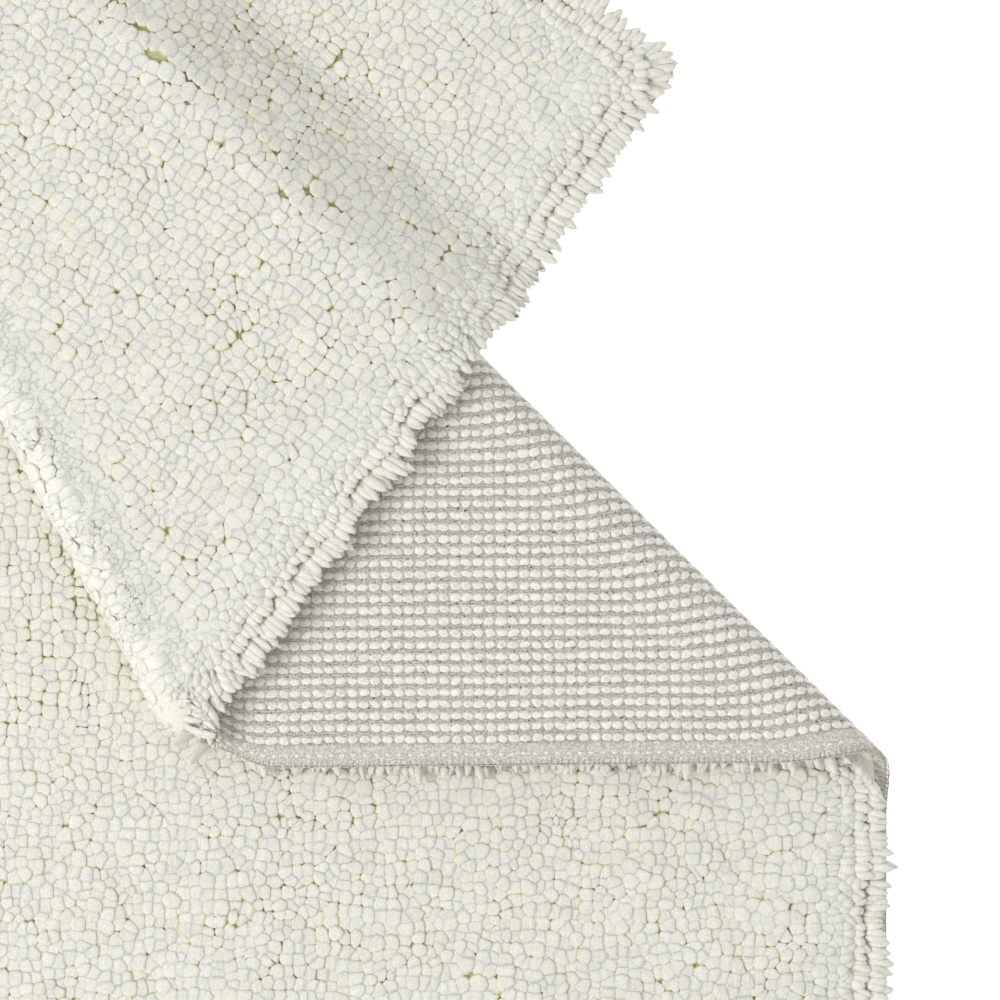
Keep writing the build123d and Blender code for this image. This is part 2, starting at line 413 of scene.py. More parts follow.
def carried_tube(path: Array, across_way: Array, radii: Array, sides: int) -> Surface:
    """A closed tube round a path: each ring is the path's point plus a circle square to the path.

    Args:
        path: Points along the middle, in millimetres.
        across_way: A direction at each point that is nowhere along the path.
        radii: The radius at each point; the ends are closed flat, so theirs should be small.
        sides: Points around the tube.

    Returns:
        The tube, with its chart as turns round and millimetres along.
    """
    ahead = unit(np.gradient(path, axis=0))
    first = unit(np.cross(across_way, ahead))
    second = np.cross(ahead, first)
    turns = np.arange(sides) / sides
    around = 2 * math.pi * turns
    rim = first[:, None] * np.cos(around)[:, None] + second[:, None] * np.sin(around)[:, None]
    points = path[:, None] + rim * radii[:, None, None]
    run = np.concatenate([[0], np.cumsum(np.linalg.norm(np.diff(path, axis=0), axis=1))])
    chart = np.stack(np.broadcast_arrays(turns[None, :], run[:, None]), -1).reshape(-1, 2)
    return Surface(points.reshape(-1, 3), tube_faces(len(path), sides), {}, chart)


# ---------------------------------------------------------------- finishes


class Dresser:
    """Adds linked shader nodes to one new material."""

    SPECULAR = 0.15
    SHEEN_ROUGHNESS = 0.6
    SCATTER_RADII = (1.0, 0.95, 0.75)
    SCATTER_DEPTH = 0.0012

    def __init__(self, name: str) -> None:
        """Starts a material with a lone surface shader.

        Args:
            name: The material's name.
        """
        self.material = bpy.data.materials.new(name)
        self.material.use_nodes = True
        self.tree = self.material.node_tree
        self.shader = self.tree.nodes["Principled BSDF"]

    def node(self, kind: str, **settings: object) -> bpy.types.Node:
        """A new node; each setting is a property, or with a leading underscore an input socket."""
        made = self.tree.nodes.new(kind)
        for name, value in settings.items():
            if name.startswith("_"):
                key = name[1:]
                socket = made.inputs[int(key) if key.isdigit() else key.replace("_", " ")]
                if isinstance(value, Socket):
                    self.tree.links.new(value, socket)
                else:
                    socket.default_value = value
            else:
                setattr(made, name, value)
        return made

    def math(self, how: str, first: object, second: object = 0.0) -> Socket:
        """The result of one sum on two numbers or sockets."""
        return self.node("ShaderNodeMath", operation=how, _0=first, _1=second).outputs[0]

    def ridges(self, value: Socket) -> Socket:
        """The height of a row of ridges: |sin| of the value."""
        return self.math("ABSOLUTE", self.math("SINE", value))

    def ranged(self, value: Socket, low: float, high: float) -> Socket:
        """A share of 0 to 1 for a value that goes from low to high."""
        return self.node("ShaderNodeMapRange", _Value=value, _1=low, _2=high).outputs[0]

    def ramp(self, value: Socket, stops: tuple[tuple[float, Colour], ...]) -> Socket:
        """A colour that passes through the stops as the value goes from 0 to 1."""
        made = self.node("ShaderNodeValToRGB", _Fac=value)
        band = made.color_ramp.elements
        while len(band) < len(stops):
            band.new(0.5)
        for element, (place, colour) in zip(band, stops):
            element.position = place
            element.color = (*linear(colour), 1.0)
        return made.outputs[0]

    def noise(self, where: Socket, scale: float, detail: float, roughness: float) -> Socket:
        """A noise value of about 0.3 to 0.7 at a place."""
        settings = {"_Vector": where, "_Scale": scale, "_Detail": detail, "_Roughness": roughness}
        return self.node("ShaderNodeTexNoise", **settings).outputs["Fac"]

    def attribute(self, name: str) -> Socket:
        """A number kept at the mesh's points."""
        return self.node("ShaderNodeAttribute", attribute_name=name).outputs["Fac"]

    def place(self) -> Socket:
        """The place on the object, in metres."""
        return self.node("ShaderNodeTexCoord").outputs["Object"]

    def chart(self) -> Socket:
        """The place on the mesh's own chart."""
        return self.node("ShaderNodeTexCoord").outputs["UV"]

    def chart_values(self) -> tuple[Socket, Socket]:
        """The chart's two values apart."""
        apart = self.node("ShaderNodeSeparateXYZ", _0=self.chart())
        return apart.outputs[0], apart.outputs[1]

    def mixed(self, how: str, share: object, first: object, second: object) -> Socket:
        """Two colours blended by a share."""
        made = self.node("ShaderNodeMix", data_type="RGBA", blend_type=how)
        for index, value in ((0, share), (6, first), (7, second)):
            if isinstance(value, Socket):
                self.tree.links.new(value, made.inputs[index])
            else:
                made.inputs[index].default_value = value
        return made.outputs[2]

    def tinted(self, colour: Socket, value: Socket, low: float, high: float) -> Socket:
        """A colour made lighter and darker by a value that runs from 0 to 1."""
        scaled = self.node("ShaderNodeMapRange", _Value=value, _3=low, _4=high).outputs[0]
        grey = self.node("ShaderNodeCombineColor", _Red=scaled, _Green=scaled, _Blue=scaled).outputs[0]
        return self.mixed("MULTIPLY", 1.0, colour, grey)

    def finish(
        self,
        colour: Socket,
        height: Socket,
        depth: float,
        roughness: float,
        sheen: float,
        glow: float = 0.0,
    ) -> bpy.types.Material:
        """Links the colour and a bump, and sets the plain numbers of the shader.

        Args:
            colour: The base colour.
            height: The bump's height from 0 to 1.
            depth: The bump's depth in metres.
            roughness: The shader's roughness.
            sheen: The weight of the fuzz on its surface.
            glow: The share of light that scatters under its surface.

        Returns:
            The finished material.
        """
        bump = self.node("ShaderNodeBump", _Height=height, _Strength=1.0, _Distance=depth)
        self.tree.links.new(colour, self.shader.inputs["Base Color"])
        self.tree.links.new(bump.outputs[0], self.shader.inputs["Normal"])
        settings = {
            "Roughness": roughness,
            "Specular IOR Level": self.SPECULAR,
            "Sheen Weight": sheen,
            "Sheen Roughness": self.SHEEN_ROUGHNESS,
            "Subsurface Weight": glow,
            "Subsurface Radius": self.SCATTER_RADII,
            "Subsurface Scale": self.SCATTER_DEPTH,
        }
        for name, value in settings.items():
            self.shader.inputs[name].default_value = value
        return self.material


def linear(colour: Colour) -> Colour:
    """A display colour from 0 to 255 as scene light: ((c + 0.055) / 1.055) to the power 2.4."""
    shares = [part / 255.0 for part in colour]
    red, green, blue = (c / 12.92 if c <= 0.04045 else ((c + 0.055) / 1.055) ** 2.4 for c in shares)
    return red, green, blue


@dataclass(frozen=True)
class WoolFinish:
    """Undyed cut wool: cream tips with painted olive shade towards the roots, and a fine fibrous bump."""

    name: str = "cut_wool"
    root: Colour = (140.0, 132.0, 84.0)
    deep: Colour = (196.0, 191.0, 148.0)
    shoulder: Colour = (222.0, 218.0, 178.0)
    tip: Colour = (242.0, 241.0, 230.0)
    fibre_depth: float = 0.00045

    def material(self) -> bpy.types.Material:
        """Builds the material: a ramp of painted shade along each tuft, toned tuft by tuft, under two noises.
        """
        dresser = Dresser(self.name)
        rise = dresser.attribute("rise")
        place = dresser.place()
        # The root, deep and shoulder colours are painted shade of the gaps and seams between tufts; only the
        # tip colour is the wool's own.
        colour = dresser.ramp(
            rise, ((0.0, self.root), (0.80, self.deep), (0.962, self.shoulder), (0.992, self.tip))
        )
        colour = dresser.tinted(colour, dresser.attribute("tone"), 0.93, 1.03)
        mottle = dresser.noise(place, 900.0, 3.0, 0.7)
        colour = dresser.tinted(colour, dresser.ranged(mottle, 0.38, 0.62), 0.915, 1.06)
        stretched = dresser.node("ShaderNodeMapping", _Vector=dresser.chart())
        stretched.inputs["Scale"].default_value = (9.0, 1.5, 1.0)
        fibre = dresser.noise(stretched.outputs[0], 1.0, 3.0, 0.6)
        colour = dresser.tinted(colour, fibre, 0.80, 1.18)
        speckle = dresser.noise(place, 1700.0, 2.0, 0.6)
        fine, finer = dresser.math("MULTIPLY", fibre, 0.9), dresser.math("MULTIPLY", speckle, 0.6)
        height = dresser.math("ADD", fine, finer)
        return dresser.finish(colour, height, self.fibre_depth, 0.95, 0.15, 0.35)


@dataclass(frozen=True)
class ClothFinish:
    """Plain woven ground cloth: flecked greige picks along the rows and pale knot backs between."""

    name: str = "ground_cloth"
    pick: Colour = (228.0, 222.0, 210.0)
    painted_groove_shade: Colour = (190.0, 183.0, 168.0)
    knot: Colour = (244.0, 243.0, 238.0)
    rows: float = 600.0 / 5.5
    columns: float = 900.0 / 5.5

    def material(self) -> bpy.types.Material:
        """Builds the material on the cloth's chart: rows are ridges and knots are crossed ridges."""
        dresser = Dresser(self.name)
        across, along = dresser.chart_values()
        row = dresser.ridges(dresser.math("MULTIPLY", across, self.rows * math.pi))
        column = dresser.ridges(dresser.math("MULTIPLY", along, self.columns * math.pi))
        narrow, broad = dresser.math("POWER", row, 2.0), dresser.math("POWER", column, 0.5)
        knot = dresser.math("MULTIPLY", narrow, broad)
        # Painted shade: the grooves between the rows of knots are painted darker than the picks.
        stops = ((0.0, self.painted_groove_shade), (0.25, self.pick), (0.62, self.pick), (0.85, self.knot))
        flecks = dresser.noise(dresser.place(), 2400.0, 2.0, 0.7)
        colour = dresser.tinted(dresser.ramp(knot, stops), flecks, 0.72, 1.22)
        height = dresser.math("ADD", knot, dresser.math("MULTIPLY", flecks, 0.4))
        return dresser.finish(colour, height, 0.0009, 0.9, 0.1)


@dataclass(frozen=True)
class YarnFinish:
    """Twisted yarn or thread: slanting plies, paler and darker fibres, and rare flecks."""

    name: str
    base: Colour
    painted_groove_shade: Colour
    ply_pitch: float
    fleck: Colour = (122.0, 92.0, 80.0)
    flecked: float = 0.0
    mottle: float = 0.06
    depth: float = 0.0002

    def material(self) -> bpy.types.Material:
        """Builds the material on the yarn's chart: plies are |sin| of turns round plus the run."""
        dresser = Dresser(self.name)
        around, ahead = dresser.chart_values()
        place = dresser.place()
        turn = dresser.math("MULTIPLY", around, 4.0 * math.pi)
        run = dresser.math("MULTIPLY", ahead, 2.0 * math.pi / self.ply_pitch)
        ply = dresser.ridges(dresser.math("ADD", turn, run))
        fibre = dresser.ranged(dresser.noise(place, 950.0, 3.0, 0.8), 0.40, 0.60)
        # Painted shade: the grooves between the plies are painted in the darker colour.
        blend = dresser.math("POWER", ply, 0.6)
        colour = dresser.ramp(blend, ((0.0, self.painted_groove_shade), (0.55, self.base), (1.0, self.base)))
        colour = dresser.tinted(colour, fibre, 1.0 - self.mottle, 1.0 + 0.6 * self.mottle)
        if self.flecked:
            spot = dresser.noise(place, 820.0, 1.0, 0.5)
            mask = dresser.ranged(spot, 0.72 - self.flecked, 0.76 - self.flecked)
            colour = dresser.mixed("MIX", mask, colour, (*linear(self.fleck), 1.0))
        height = dresser.math("ADD", ply, dresser.math("MULTIPLY", fibre, 0.8))
        return dresser.finish(colour, height, self.depth, 0.9, 0.12)


@dataclass(frozen=True)
class BandFinish:
    """Close-woven hem band: a fine greige basket of picks with pale and brown fibres."""

    name: str = "band_cloth"
    base: Colour = (255.0, 251.0, 240.0)
    painted_groove_shade: Colour = (236.0, 227.0, 213.0)
    pitch_across: float = 0.85
    pitch_along: float = 1.15

    def material(self) -> bpy.types.Material:
        """Builds the material on the band's chart in millimetres: picks are ridges both ways."""
        dresser = Dresser(self.name)
        chart_across, chart_along = dresser.chart_values()
        across = dresser.math("MULTIPLY", chart_across, math.pi / self.pitch_across)
        along = dresser.math("MULTIPLY", chart_along, math.pi / self.pitch_along)
        slant = dresser.ridges(dresser.math("ADD", across, along))
        cross = dresser.ridges(dresser.math("SUBTRACT", across, along))
        weave = dresser.math("MAXIMUM", slant, dresser.math("MULTIPLY", cross, 0.8))
        grain = dresser.ranged(dresser.noise(dresser.place(), 950.0, 3.0, 0.8), 0.40, 0.60)
        # Painted shade: the gaps between the band's picks are painted in the darker colour.
        colour = dresser.ramp(weave, ((0.0, self.painted_groove_shade), (0.7, self.base), (1.0, self.base)))
        colour = dresser.tinted(colour, grain, 0.66, 1.22)
        return dresser.finish(colour, dresser.math("ADD", weave, grain), 0.00035, 0.9, 0.1)


@dataclass(frozen=True)
class FloorFinish:
    """Matt white floor with a faint mottle, bright enough to read as plain white."""

    name: str = "pale_floor"
    colour: Colour = (250.0, 250.0, 249.0)
    glow: float = 0.52

    def material(self) -> bpy.types.Material:
        """Builds the material: white with a faint noise, and a little light of its own."""
        dresser = Dresser(self.name)
        mottle = dresser.noise(dresser.place(), 3.0, 2.0, 0.5)
        plain = dresser.ramp(mottle, ((0.0, self.colour), (1.0, self.colour)))
        colour = dresser.tinted(plain, mottle, 0.99, 1.01)
        dresser.shader.inputs["Emission Color"].default_value = (1.0, 1.0, 1.0, 1.0)
        dresser.shader.inputs["Emission Strength"].default_value = self.glow
        return dresser.finish(colour, mottle, 0.0, 0.9, 0.0)


@dataclass(frozen=True)
class Finishes:
    """Every material of the mat and its floor, built once."""

    wool: bpy.types.Material
    cloth: bpy.types.Material
    knot: bpy.types.Material
    pick: bpy.types.Material
    band: bpy.types.Material
    thread: bpy.types.Material
    side_yarn: bpy.types.Material
    side_core: bpy.types.Material
    floor: bpy.types.Material

    @classmethod
    def made(cls) -> Finishes:
        """Builds the set."""
        return cls(
            wool=WoolFinish().material(),
            cloth=ClothFinish().material(),
            knot=YarnFinish(
                "knot_wool", (250.0, 249.0, 243.0), (242.0, 240.0, 232.0), 3.4,
                mottle=0.13, depth=0.00012,
            ).material(),
            pick=YarnFinish(
                "weft_yarn", (252.0, 246.0, 234.0), (240.0, 231.0, 217.0), 1.6,
                flecked=0.06, mottle=0.35, depth=0.0003,
            ).material(),
            band=BandFinish().material(),
            thread=YarnFinish(
                "binding_thread", (250.0, 245.0, 236.0), (226.0, 218.0, 206.0), 1.2,
                flecked=0.03, mottle=0.40, depth=0.0002,
            ).material(),
            side_yarn=YarnFinish("side_wool", (226.0, 222.0, 210.0), (196.0, 190.0, 172.0), 2.2).material(),
            side_core=YarnFinish("side_core", (210.0, 204.0, 190.0), (170.0, 163.0, 148.0), 3.0).material(),
            floor=FloorFinish().material(),
        )


# ---------------------------------------------------------------- pieces


class Layer(Enum):
    """The four stretches of pile, each named for the part's node that it stands for."""

    BASE = "base_pile"
    TURNED = "turned_pile"
    FOLD = "fold_pile"
    TOP = "top_pile"


class Slot(Enum):
    """The part's material slots."""

    WOOL = "wool_pile"
    CLOTH = "ground_cloth"
    BAND = "band_cloth"
    THREAD = "binding_thread"
    SIDE = "side_yarn"


@dataclass
class Finished:
    """A piece with what it needs to join the part: its slot and the nodes that it stands for."""

    piece: bpy.types.Object
    slot: Slot
    nodes: tuple[str, ...] = ()

    def settle(self) -> bpy.types.Object:
        """Rides the piece on the mat's one body, hides the parts of the nodes that it stands for and logs its
        triangles and slot.
        """
        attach(self.piece, "root")
        if self.nodes:
            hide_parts(*self.nodes)
        mesh = self.piece.data
        mesh.calc_loop_triangles()
        LOG.info("%s: %d triangles, %s", self.piece.name, len(mesh.loop_triangles), self.slot.value)
        return self.piece


@dataclass(frozen=True)
class TuftForm:
    """The outline of a tuft along its length, from its root to its tip, for two ways it can stand.

    An upright tuft swells to a flat dome with a rounded shoulder. A lying lock is widest past its
    middle and ends bluntly.
    Rises are shares of the tuft's length and widths are shares of its cell's radius.
    """

    sides: int
    dome_rises: tuple[float, ...]
    dome_widths: tuple[float, ...]
    lock_rises: tuple[float, ...]
    lock_widths: tuple[float, ...]


SHOWN_FORM = TuftForm(
    sides=8,
    dome_rises=(0.0, 0.62, 0.945, 0.984, 0.998),
    dome_widths=(0.50, 0.96, 1.04, 0.94, 0.60),
    lock_rises=(0.0, 0.34, 0.68, 0.87, 0.965),
    lock_widths=(0.80, 1.20, 1.28, 1.02, 0.50),
)
HIDDEN_FORM = TuftForm(
    sides=5,
    dome_rises=(0.0, 0.85, 0.98),
    dome_widths=(0.50, 1.0, 0.90),
    lock_rises=(0.0, 0.55, 0.92),
    lock_widths=(0.60, 1.1, 0.75),
)


@dataclass
class Pile:
    """The hand-knotted wool pile: a tuft for each knot, with a cell of the pile's top for each.

    Knots stand on an even grid. Tips wander from their knots by smooth fields, gather a little
    into clumps, lean out over the edges and spread evenly round the second fold and the crest.
    More tufts stand between the knots where the folds and the edges spread the tips apart.
    A tip's cell reaches past halfway to each neighbouring tip, so that cells press together.
    """

    lay: FoldedLay
    rows: int = 106
    columns: int = 162
    first_across: float = 12.0
    first_along: float = 7.0
    root_height: float = 2.5
    tip_height: float = 16.6
    lock_length: float = 20.3
    cell_limit: float = 5.2
    lock_limit: float = 2.3
    fold_spread: float = 14.0
    narrowed: float = 1.22
    most_lean: float = 16.8
    crest_spread: float = 9.0
    clump_size: float = 2.3
    bed_height: float = 14.5
    # Where the bed sits on the wool's painted-shade ramp, and where it sits without that shade.
    bed_shade_rise: float = 0.89
    seed: int = 20
    limit: int = 190_000
    tip_wander: float = 1.4
    tip_scatter: float = 0.95
    base_overhang: float = 2.4
    flap_overhang: float = 6.0
    top_overhang: float = 3.4
    side_overhang: float = 6.6
    quick_fall: float = 8.5
    slow_fall: float = 26.0
    bend_reach: float = 22.0
    bend_dip: float = 3.4
    bed_dip: float = 2.8
    seam_in_clump: float = 0.19
    seam_between: float = 0.122
    seam_cracked: float = 0.074
    laid_rise: float = 0.980
    laid_growth: float = 0.017
    unshaded_rise: float = 0.991
    drawn_reach: float = 23.0
    drawn_lift: float = 0.9
    fold_half: float = 22.0

    def __post_init__(self) -> None:
        """Lays out the knots, on a grid of twice the fineness so that tufts can be added between."""
        row, column = np.meshgrid(
            np.arange(2 * self.rows - 1), np.arange(2 * self.columns - 1), indexing="ij"
        )
        self.row, self.column = row, column
        self.across = self.first_across + row / row.max() * (self.lay.width - 2 * self.first_across)
        self.along = self.first_along + column / column.max() * (self.lay.length - 2 * self.first_along)
        self.rng = np.random.default_rng(self.seed)

    def spread(self, past: Array, growth: Array, sigma: float) -> tuple[Array, Array]:
        """Evens out tips where the pile's top is longer than the weave beneath it.

        The top's length is summed along a line across the bend and smoothed with a bell curve;
        the smoothed length, looked up in the unsmoothed one, gives each tip's new place.

        Args:
            past: Each knot's place past the start of the bend.
            growth: How many times longer the top is than the weave, at each step of BEND_LINE.
            sigma: The bell curve's width in millimetres.

        Returns:
            How far each tip moves along the line, and how much its cell is stretched.
        """
        length = np.cumsum(growth) * BEND_STEP
        reach = np.arange(-3.5 * sigma, 3.5 * sigma + BEND_STEP, BEND_STEP)
        bell = np.exp(-0.5 * (reach / sigma) ** 2)
        padded = np.concatenate([
            length[0] - BEND_STEP * np.arange(len(reach) // 2, 0, -1),
            length,
            length[-1] + BEND_STEP * np.arange(1, len(reach) // 2 + 1),
        ])
        even = np.convolve(padded, bell / bell.sum(), "valid")[: len(BEND_LINE)]
        moved = np.interp(even, length, BEND_LINE)
        shift = np.interp(past, BEND_LINE, moved - BEND_LINE, 0.0, 0.0)
        stretch = np.interp(past, BEND_LINE, np.gradient(even, BEND_LINE), 1.0, 1.0)
        return shift, stretch

    def clumps(self) -> tuple[Whole, Array, Array]:
        """Gathers neighbouring knots round scattered seeds, each knot to its nearest.

        Returns:
            Each knot's clump number and its clump's middle, across and along.
        """
        size = 2 * self.clump_size
        rows, columns = int(self.row.max() / size) + 3, int(self.column.max() / size) + 3
        jitter = self.rng.uniform(0.0, 1.0, (2, rows, columns))
        home_row, home_column = (self.row / size).astype(int), (self.column / size).astype(int)
        best = np.full(self.row.shape, 1e9)
        number = np.zeros(self.row.shape, int)
        middles = np.zeros((2, *self.row.shape))
        for row_step in (-1, 0, 1):
            for column_step in (-1, 0, 1):
                near_row = np.clip(home_row + row_step, 0, rows - 1)
                near_column = np.clip(home_column + column_step, 0, columns - 1)
                seed_row = (near_row + jitter[0, near_row, near_column]) * size
                seed_column = (near_column + jitter[1, near_row, near_column]) * size
                distance = np.hypot(seed_row - self.row, seed_column - self.column)
                closer = distance < best
                best = np.where(closer, distance, best)
                number = np.where(closer, near_row * columns + near_column, number)
                middles = np.where(closer, np.stack([seed_row, seed_column]), middles)
        pitch_across = self.across[1, 0] - self.across[0, 0]
        pitch_along = self.along[0, 1] - self.along[0, 0]
        return (
            number,
            self.first_across + middles[0] * pitch_across,
            self.first_along + middles[1] * pitch_along,
        )

    def waves(self, length: float, seed: int) -> Array:
        """A smooth random field at the knots, of about -2 to 2."""
        return ripples(self.across, self.along, length, seed)

    def in_bend_one(self, past_one: Array) -> Array:
        """How deep in the first bend a place is: a bell curve round the bend's middle."""
        return np.exp(-(((past_one - self.lay.bend_one_path / 2) / self.bend_reach) ** 2))

    def growths(self) -> tuple[Array, Array]:
        """How many times longer the pile's top is than the weave, at each step of BEND_LINE.

        Returns:
            The growth past the start of the second bend, and past the crest of the droop.
        """
        lay = self.lay
        outer = (lay.gap / 2 + self.tip_height) / (lay.gap / 2 + lay.weave / 2)
        in_two = (BEND_LINE > 0) & (BEND_LINE < lay.bend_two_path)
        bend = lay.bend_one_radius + lay.gap
        turn = math.radians(lay.droop_turn)
        slope = (lay.top_back - (bend + lay.foot_radius) * (1 - math.cos(turn))) / math.sin(turn)
        foot = bend * turn + slope
        at_crest = (BEND_LINE > 0) & (BEND_LINE < bend * turn)
        at_foot = (BEND_LINE > foot) & (BEND_LINE < foot + lay.foot_radius * turn)
        over = np.where(at_crest, 1 + self.tip_height / bend, 1.0)
        over = np.where(at_foot, 1 - self.tip_height / lay.foot_radius, over)
        return np.where(in_two, outer, 1.0), over

    def plan_tips(self) -> None:
        """Works out each tuft's tip, lean and stretch, and which grid places have a tuft."""
        lay, rng = self.lay, self.rng
        shape = self.row.shape
        past_one = lay.past_one(self.across, self.along)
        past_two = lay.past_two(self.across, self.along)
        past_crest = lay.past_crest(self.across, self.along)
        self.turned = past_one > lay.bend_one_path / 2
        self.on_top = self.turned & (past_two > lay.bend_two_path / 2)

        round_two, over_crest = self.growths()
        fold_shift, fold_stretch = self.spread(past_two, round_two, self.fold_spread)
        crest_shift, crest_stretch = self.spread(past_crest, over_crest, self.crest_spread)
        beyond = self.turned.astype(float)
        fold_shift, crest_shift = fold_shift * beyond, crest_shift * self.on_top
        fold_stretch = np.where(self.turned, fold_stretch, 1.0)
        crest_stretch = np.where(self.on_top, crest_stretch, 1.0)
        self.stretch = fold_stretch * crest_stretch

        number, middle_across, middle_along = self.clumps()
        self.clump = number
        tip_across = self.across + self.tip_wander * self.waves(40.0, 3)
        tip_along = self.along + self.tip_wander * self.waves(40.0, 4)
        tip_across = tip_across + rng.normal(0.0, self.tip_scatter, shape)
        tip_along = tip_along + rng.normal(0.0, self.tip_scatter, shape)
        gather = 0.09 + 0.04 * self.waves(60.0, 5)
        tip_across = tip_across + gather * (middle_across - self.across)
        tip_along = tip_along + gather * (middle_along - self.along)

        overhang = np.where(self.turned, self.flap_overhang, self.base_overhang)
        overhang = np.where(self.on_top, self.top_overhang, overhang)
        to_right = lay.width - self.first_across - self.across
        to_left = self.across - self.first_across
        to_far = lay.length - self.first_along - self.along
        to_near = self.along - self.first_along
        even_row, even_column = self.row % 2 == 0, self.column % 2 == 0
        thinned_across = self.thinning(to_right, overhang) * self.thinning(to_left, overhang)
        thinned_along = self.thinning(to_far, self.side_overhang)
        thinned_along = thinned_along * self.thinning(to_near, self.side_overhang)
        between = (thinned_across > self.narrowed) | (self.stretch > 1.45)
        self.alive = even_row & (even_column | between)
        self.alive |= even_column & (thinned_along > self.narrowed)
        self.alive |= (fold_stretch > 1.6) & (past_two > -3.0)
        self.alive |= (self.stretch > 1.12) & (self.stretch * thinned_across * thinned_along > 1.9)
        most = self.first_across + overhang
        lean_across = self.leaning(to_right, most) - self.leaning(to_left, most)
        most = self.first_along + self.side_overhang
        lean_along = self.leaning(to_far, most) - self.leaning(to_near, most)
        trim = np.minimum(1.0, self.most_lean / np.maximum(np.hypot(lean_across, lean_along), 1e-6))
        lean_across, lean_along = lean_across * trim, lean_along * trim
        self.lean = np.hypot(lean_across, lean_along)
        unruly = np.clip(self.lean / 12.0, 0.0, 1.0)
        lean_across = lean_across + unruly * rng.normal(0.0, 1.0, shape)
        lean_along = lean_along + unruly * rng.normal(0.0, 1.0, shape)

        fold_way = lay.flat_direction(lay.normal_two, 1)
        crest_way = lay.flat_direction(lay.normal_one, 2)
        tip_across = tip_across + lean_across + fold_shift * fold_way[0]
        tip_along = tip_along + lean_along + fold_shift * fold_way[1]
        self.tip_across = tip_across + crest_shift * crest_way[0]
        self.tip_along = tip_along + crest_shift * crest_way[1]

        lean = np.hypot(lean_across, lean_along)
        upright = self.tip_height - self.root_height
        rise = np.minimum(upright, np.sqrt(np.maximum(self.lock_length**2 - lean**2, 16.0)))
        clump_lift = np.random.default_rng(self.seed + 1).normal(0.0, 0.30, number.max() + 1)[number]
        rise = rise + clump_lift + rng.normal(0.0, 0.22, shape) + 0.35 * self.waves(90.0, 6)
        rise = rise - self.bend_dip * self.in_bend_one(past_one)
        pressed = (~self.on_top) & (past_one > -6.0) & (past_two < -12.0)
        rise = np.where(pressed, np.minimum(rise, upright - 0.4), rise)
        self.tip_rise = self.root_height + rise
        self.point = soft_step((lean - 2.5) / 8.0)
        loose = 0.45 * self.waves(140.0, 8) + 0.45 * self.waves(34.0, 9)
        self.crack = np.clip(0.25 + loose + 0.45 * (self.stretch - 1.0), 0.0, 1.35)

    def thinning(self, inside: Array, overhang: Array | float) -> Array:
        """How much the lean near an edge spreads the tips: one plus the lean's slope."""
        most = self.first_across + overhang
        quick = 0.50 / self.quick_fall * np.exp(-inside / self.quick_fall)
        slow = 0.50 / self.slow_fall * np.exp(-inside / self.slow_fall)
        return 1 + most * (quick + slow)

    def leaning(self, inside: Array, most: Array | float) -> Array:
        """How far tips lean out at a distance inside the edge: a quick and a slow fall added."""
        quick, slow = np.exp(-inside / self.quick_fall), np.exp(-inside / self.slow_fall)
        return most * (0.50 * quick + 0.50 * slow)

    def cells(self, chosen: Whole, tips: Array, first: Array, second: Array, sides: int) -> Array:
        """The radius of each chosen tuft's cell in evenly spaced directions.

        In a direction, a neighbour at distance d allows a little over d / 2, over the cosine of
        the angle to it: more within a clump, less where the pile cracks. The radius is the soft
        least of all allowances: the sum of their powers to -SOFTNESS, rooted.

        Args:
            chosen: Grid numbers of the tufts, as flat indices.
            tips: Tip points of the whole grid, in millimetres.
            first: The first level direction at each chosen tip.
            second: The second level direction at each chosen tip.
            sides: How many directions.

        Returns:
            Radii in millimetres, one row for each chosen tuft.
        """
        rows, columns = self.row.shape
        row, column = chosen // columns, chosen % columns
        alive, clump = self.alive.ravel(), self.clump.ravel()
        tips = tips.reshape(-1, 3)
        turns = 2 * math.pi * np.arange(sides) / sides
        point = self.point.ravel()[chosen]
        limit = self.cell_limit * np.clip(self.stretch.ravel()[chosen], 0.8, 1.0)
        limit = limit * (1 - point) + self.lock_limit * point
        total = np.repeat(limit[:, None] ** -SOFTNESS, sides, 1)
        crack = self.crack.ravel()[chosen]
        for row_step in range(-4, 5):
            for column_step in range(-4, 5):
                if row_step == 0 and column_step == 0:
                    continue
                near_row, near_column = row + row_step, column + column_step
                inside = (near_row >= 0) & (near_row < rows)
                inside &= (near_column >= 0) & (near_column < columns)
                near = np.where(inside, near_row * columns + near_column, chosen)
                inside &= alive[near]
                offset = tips[near] - tips[chosen]
                flat = np.stack([(offset * first).sum(-1), (offset * second).sum(-1)], -1)
                distance = np.maximum(np.linalg.norm(flat, axis=-1), 0.6)
                cosine = flat[:, :1] * np.cos(turns) + flat[:, 1:] * np.sin(turns)
                cosine = cosine / distance[:, None]
                seam = self.seam_between - self.seam_cracked * crack
                seam = np.where(clump[near] == clump[chosen], self.seam_in_clump, seam)
                allowed = (distance * (0.5 + seam))[:, None] / np.maximum(cosine, 1e-3)
                useful = inside[:, None] & (cosine > 0.12)
                total = total + np.where(useful, np.maximum(allowed, 0.35) ** -SOFTNESS, 0.0)
        return total ** (-1.0 / SOFTNESS)

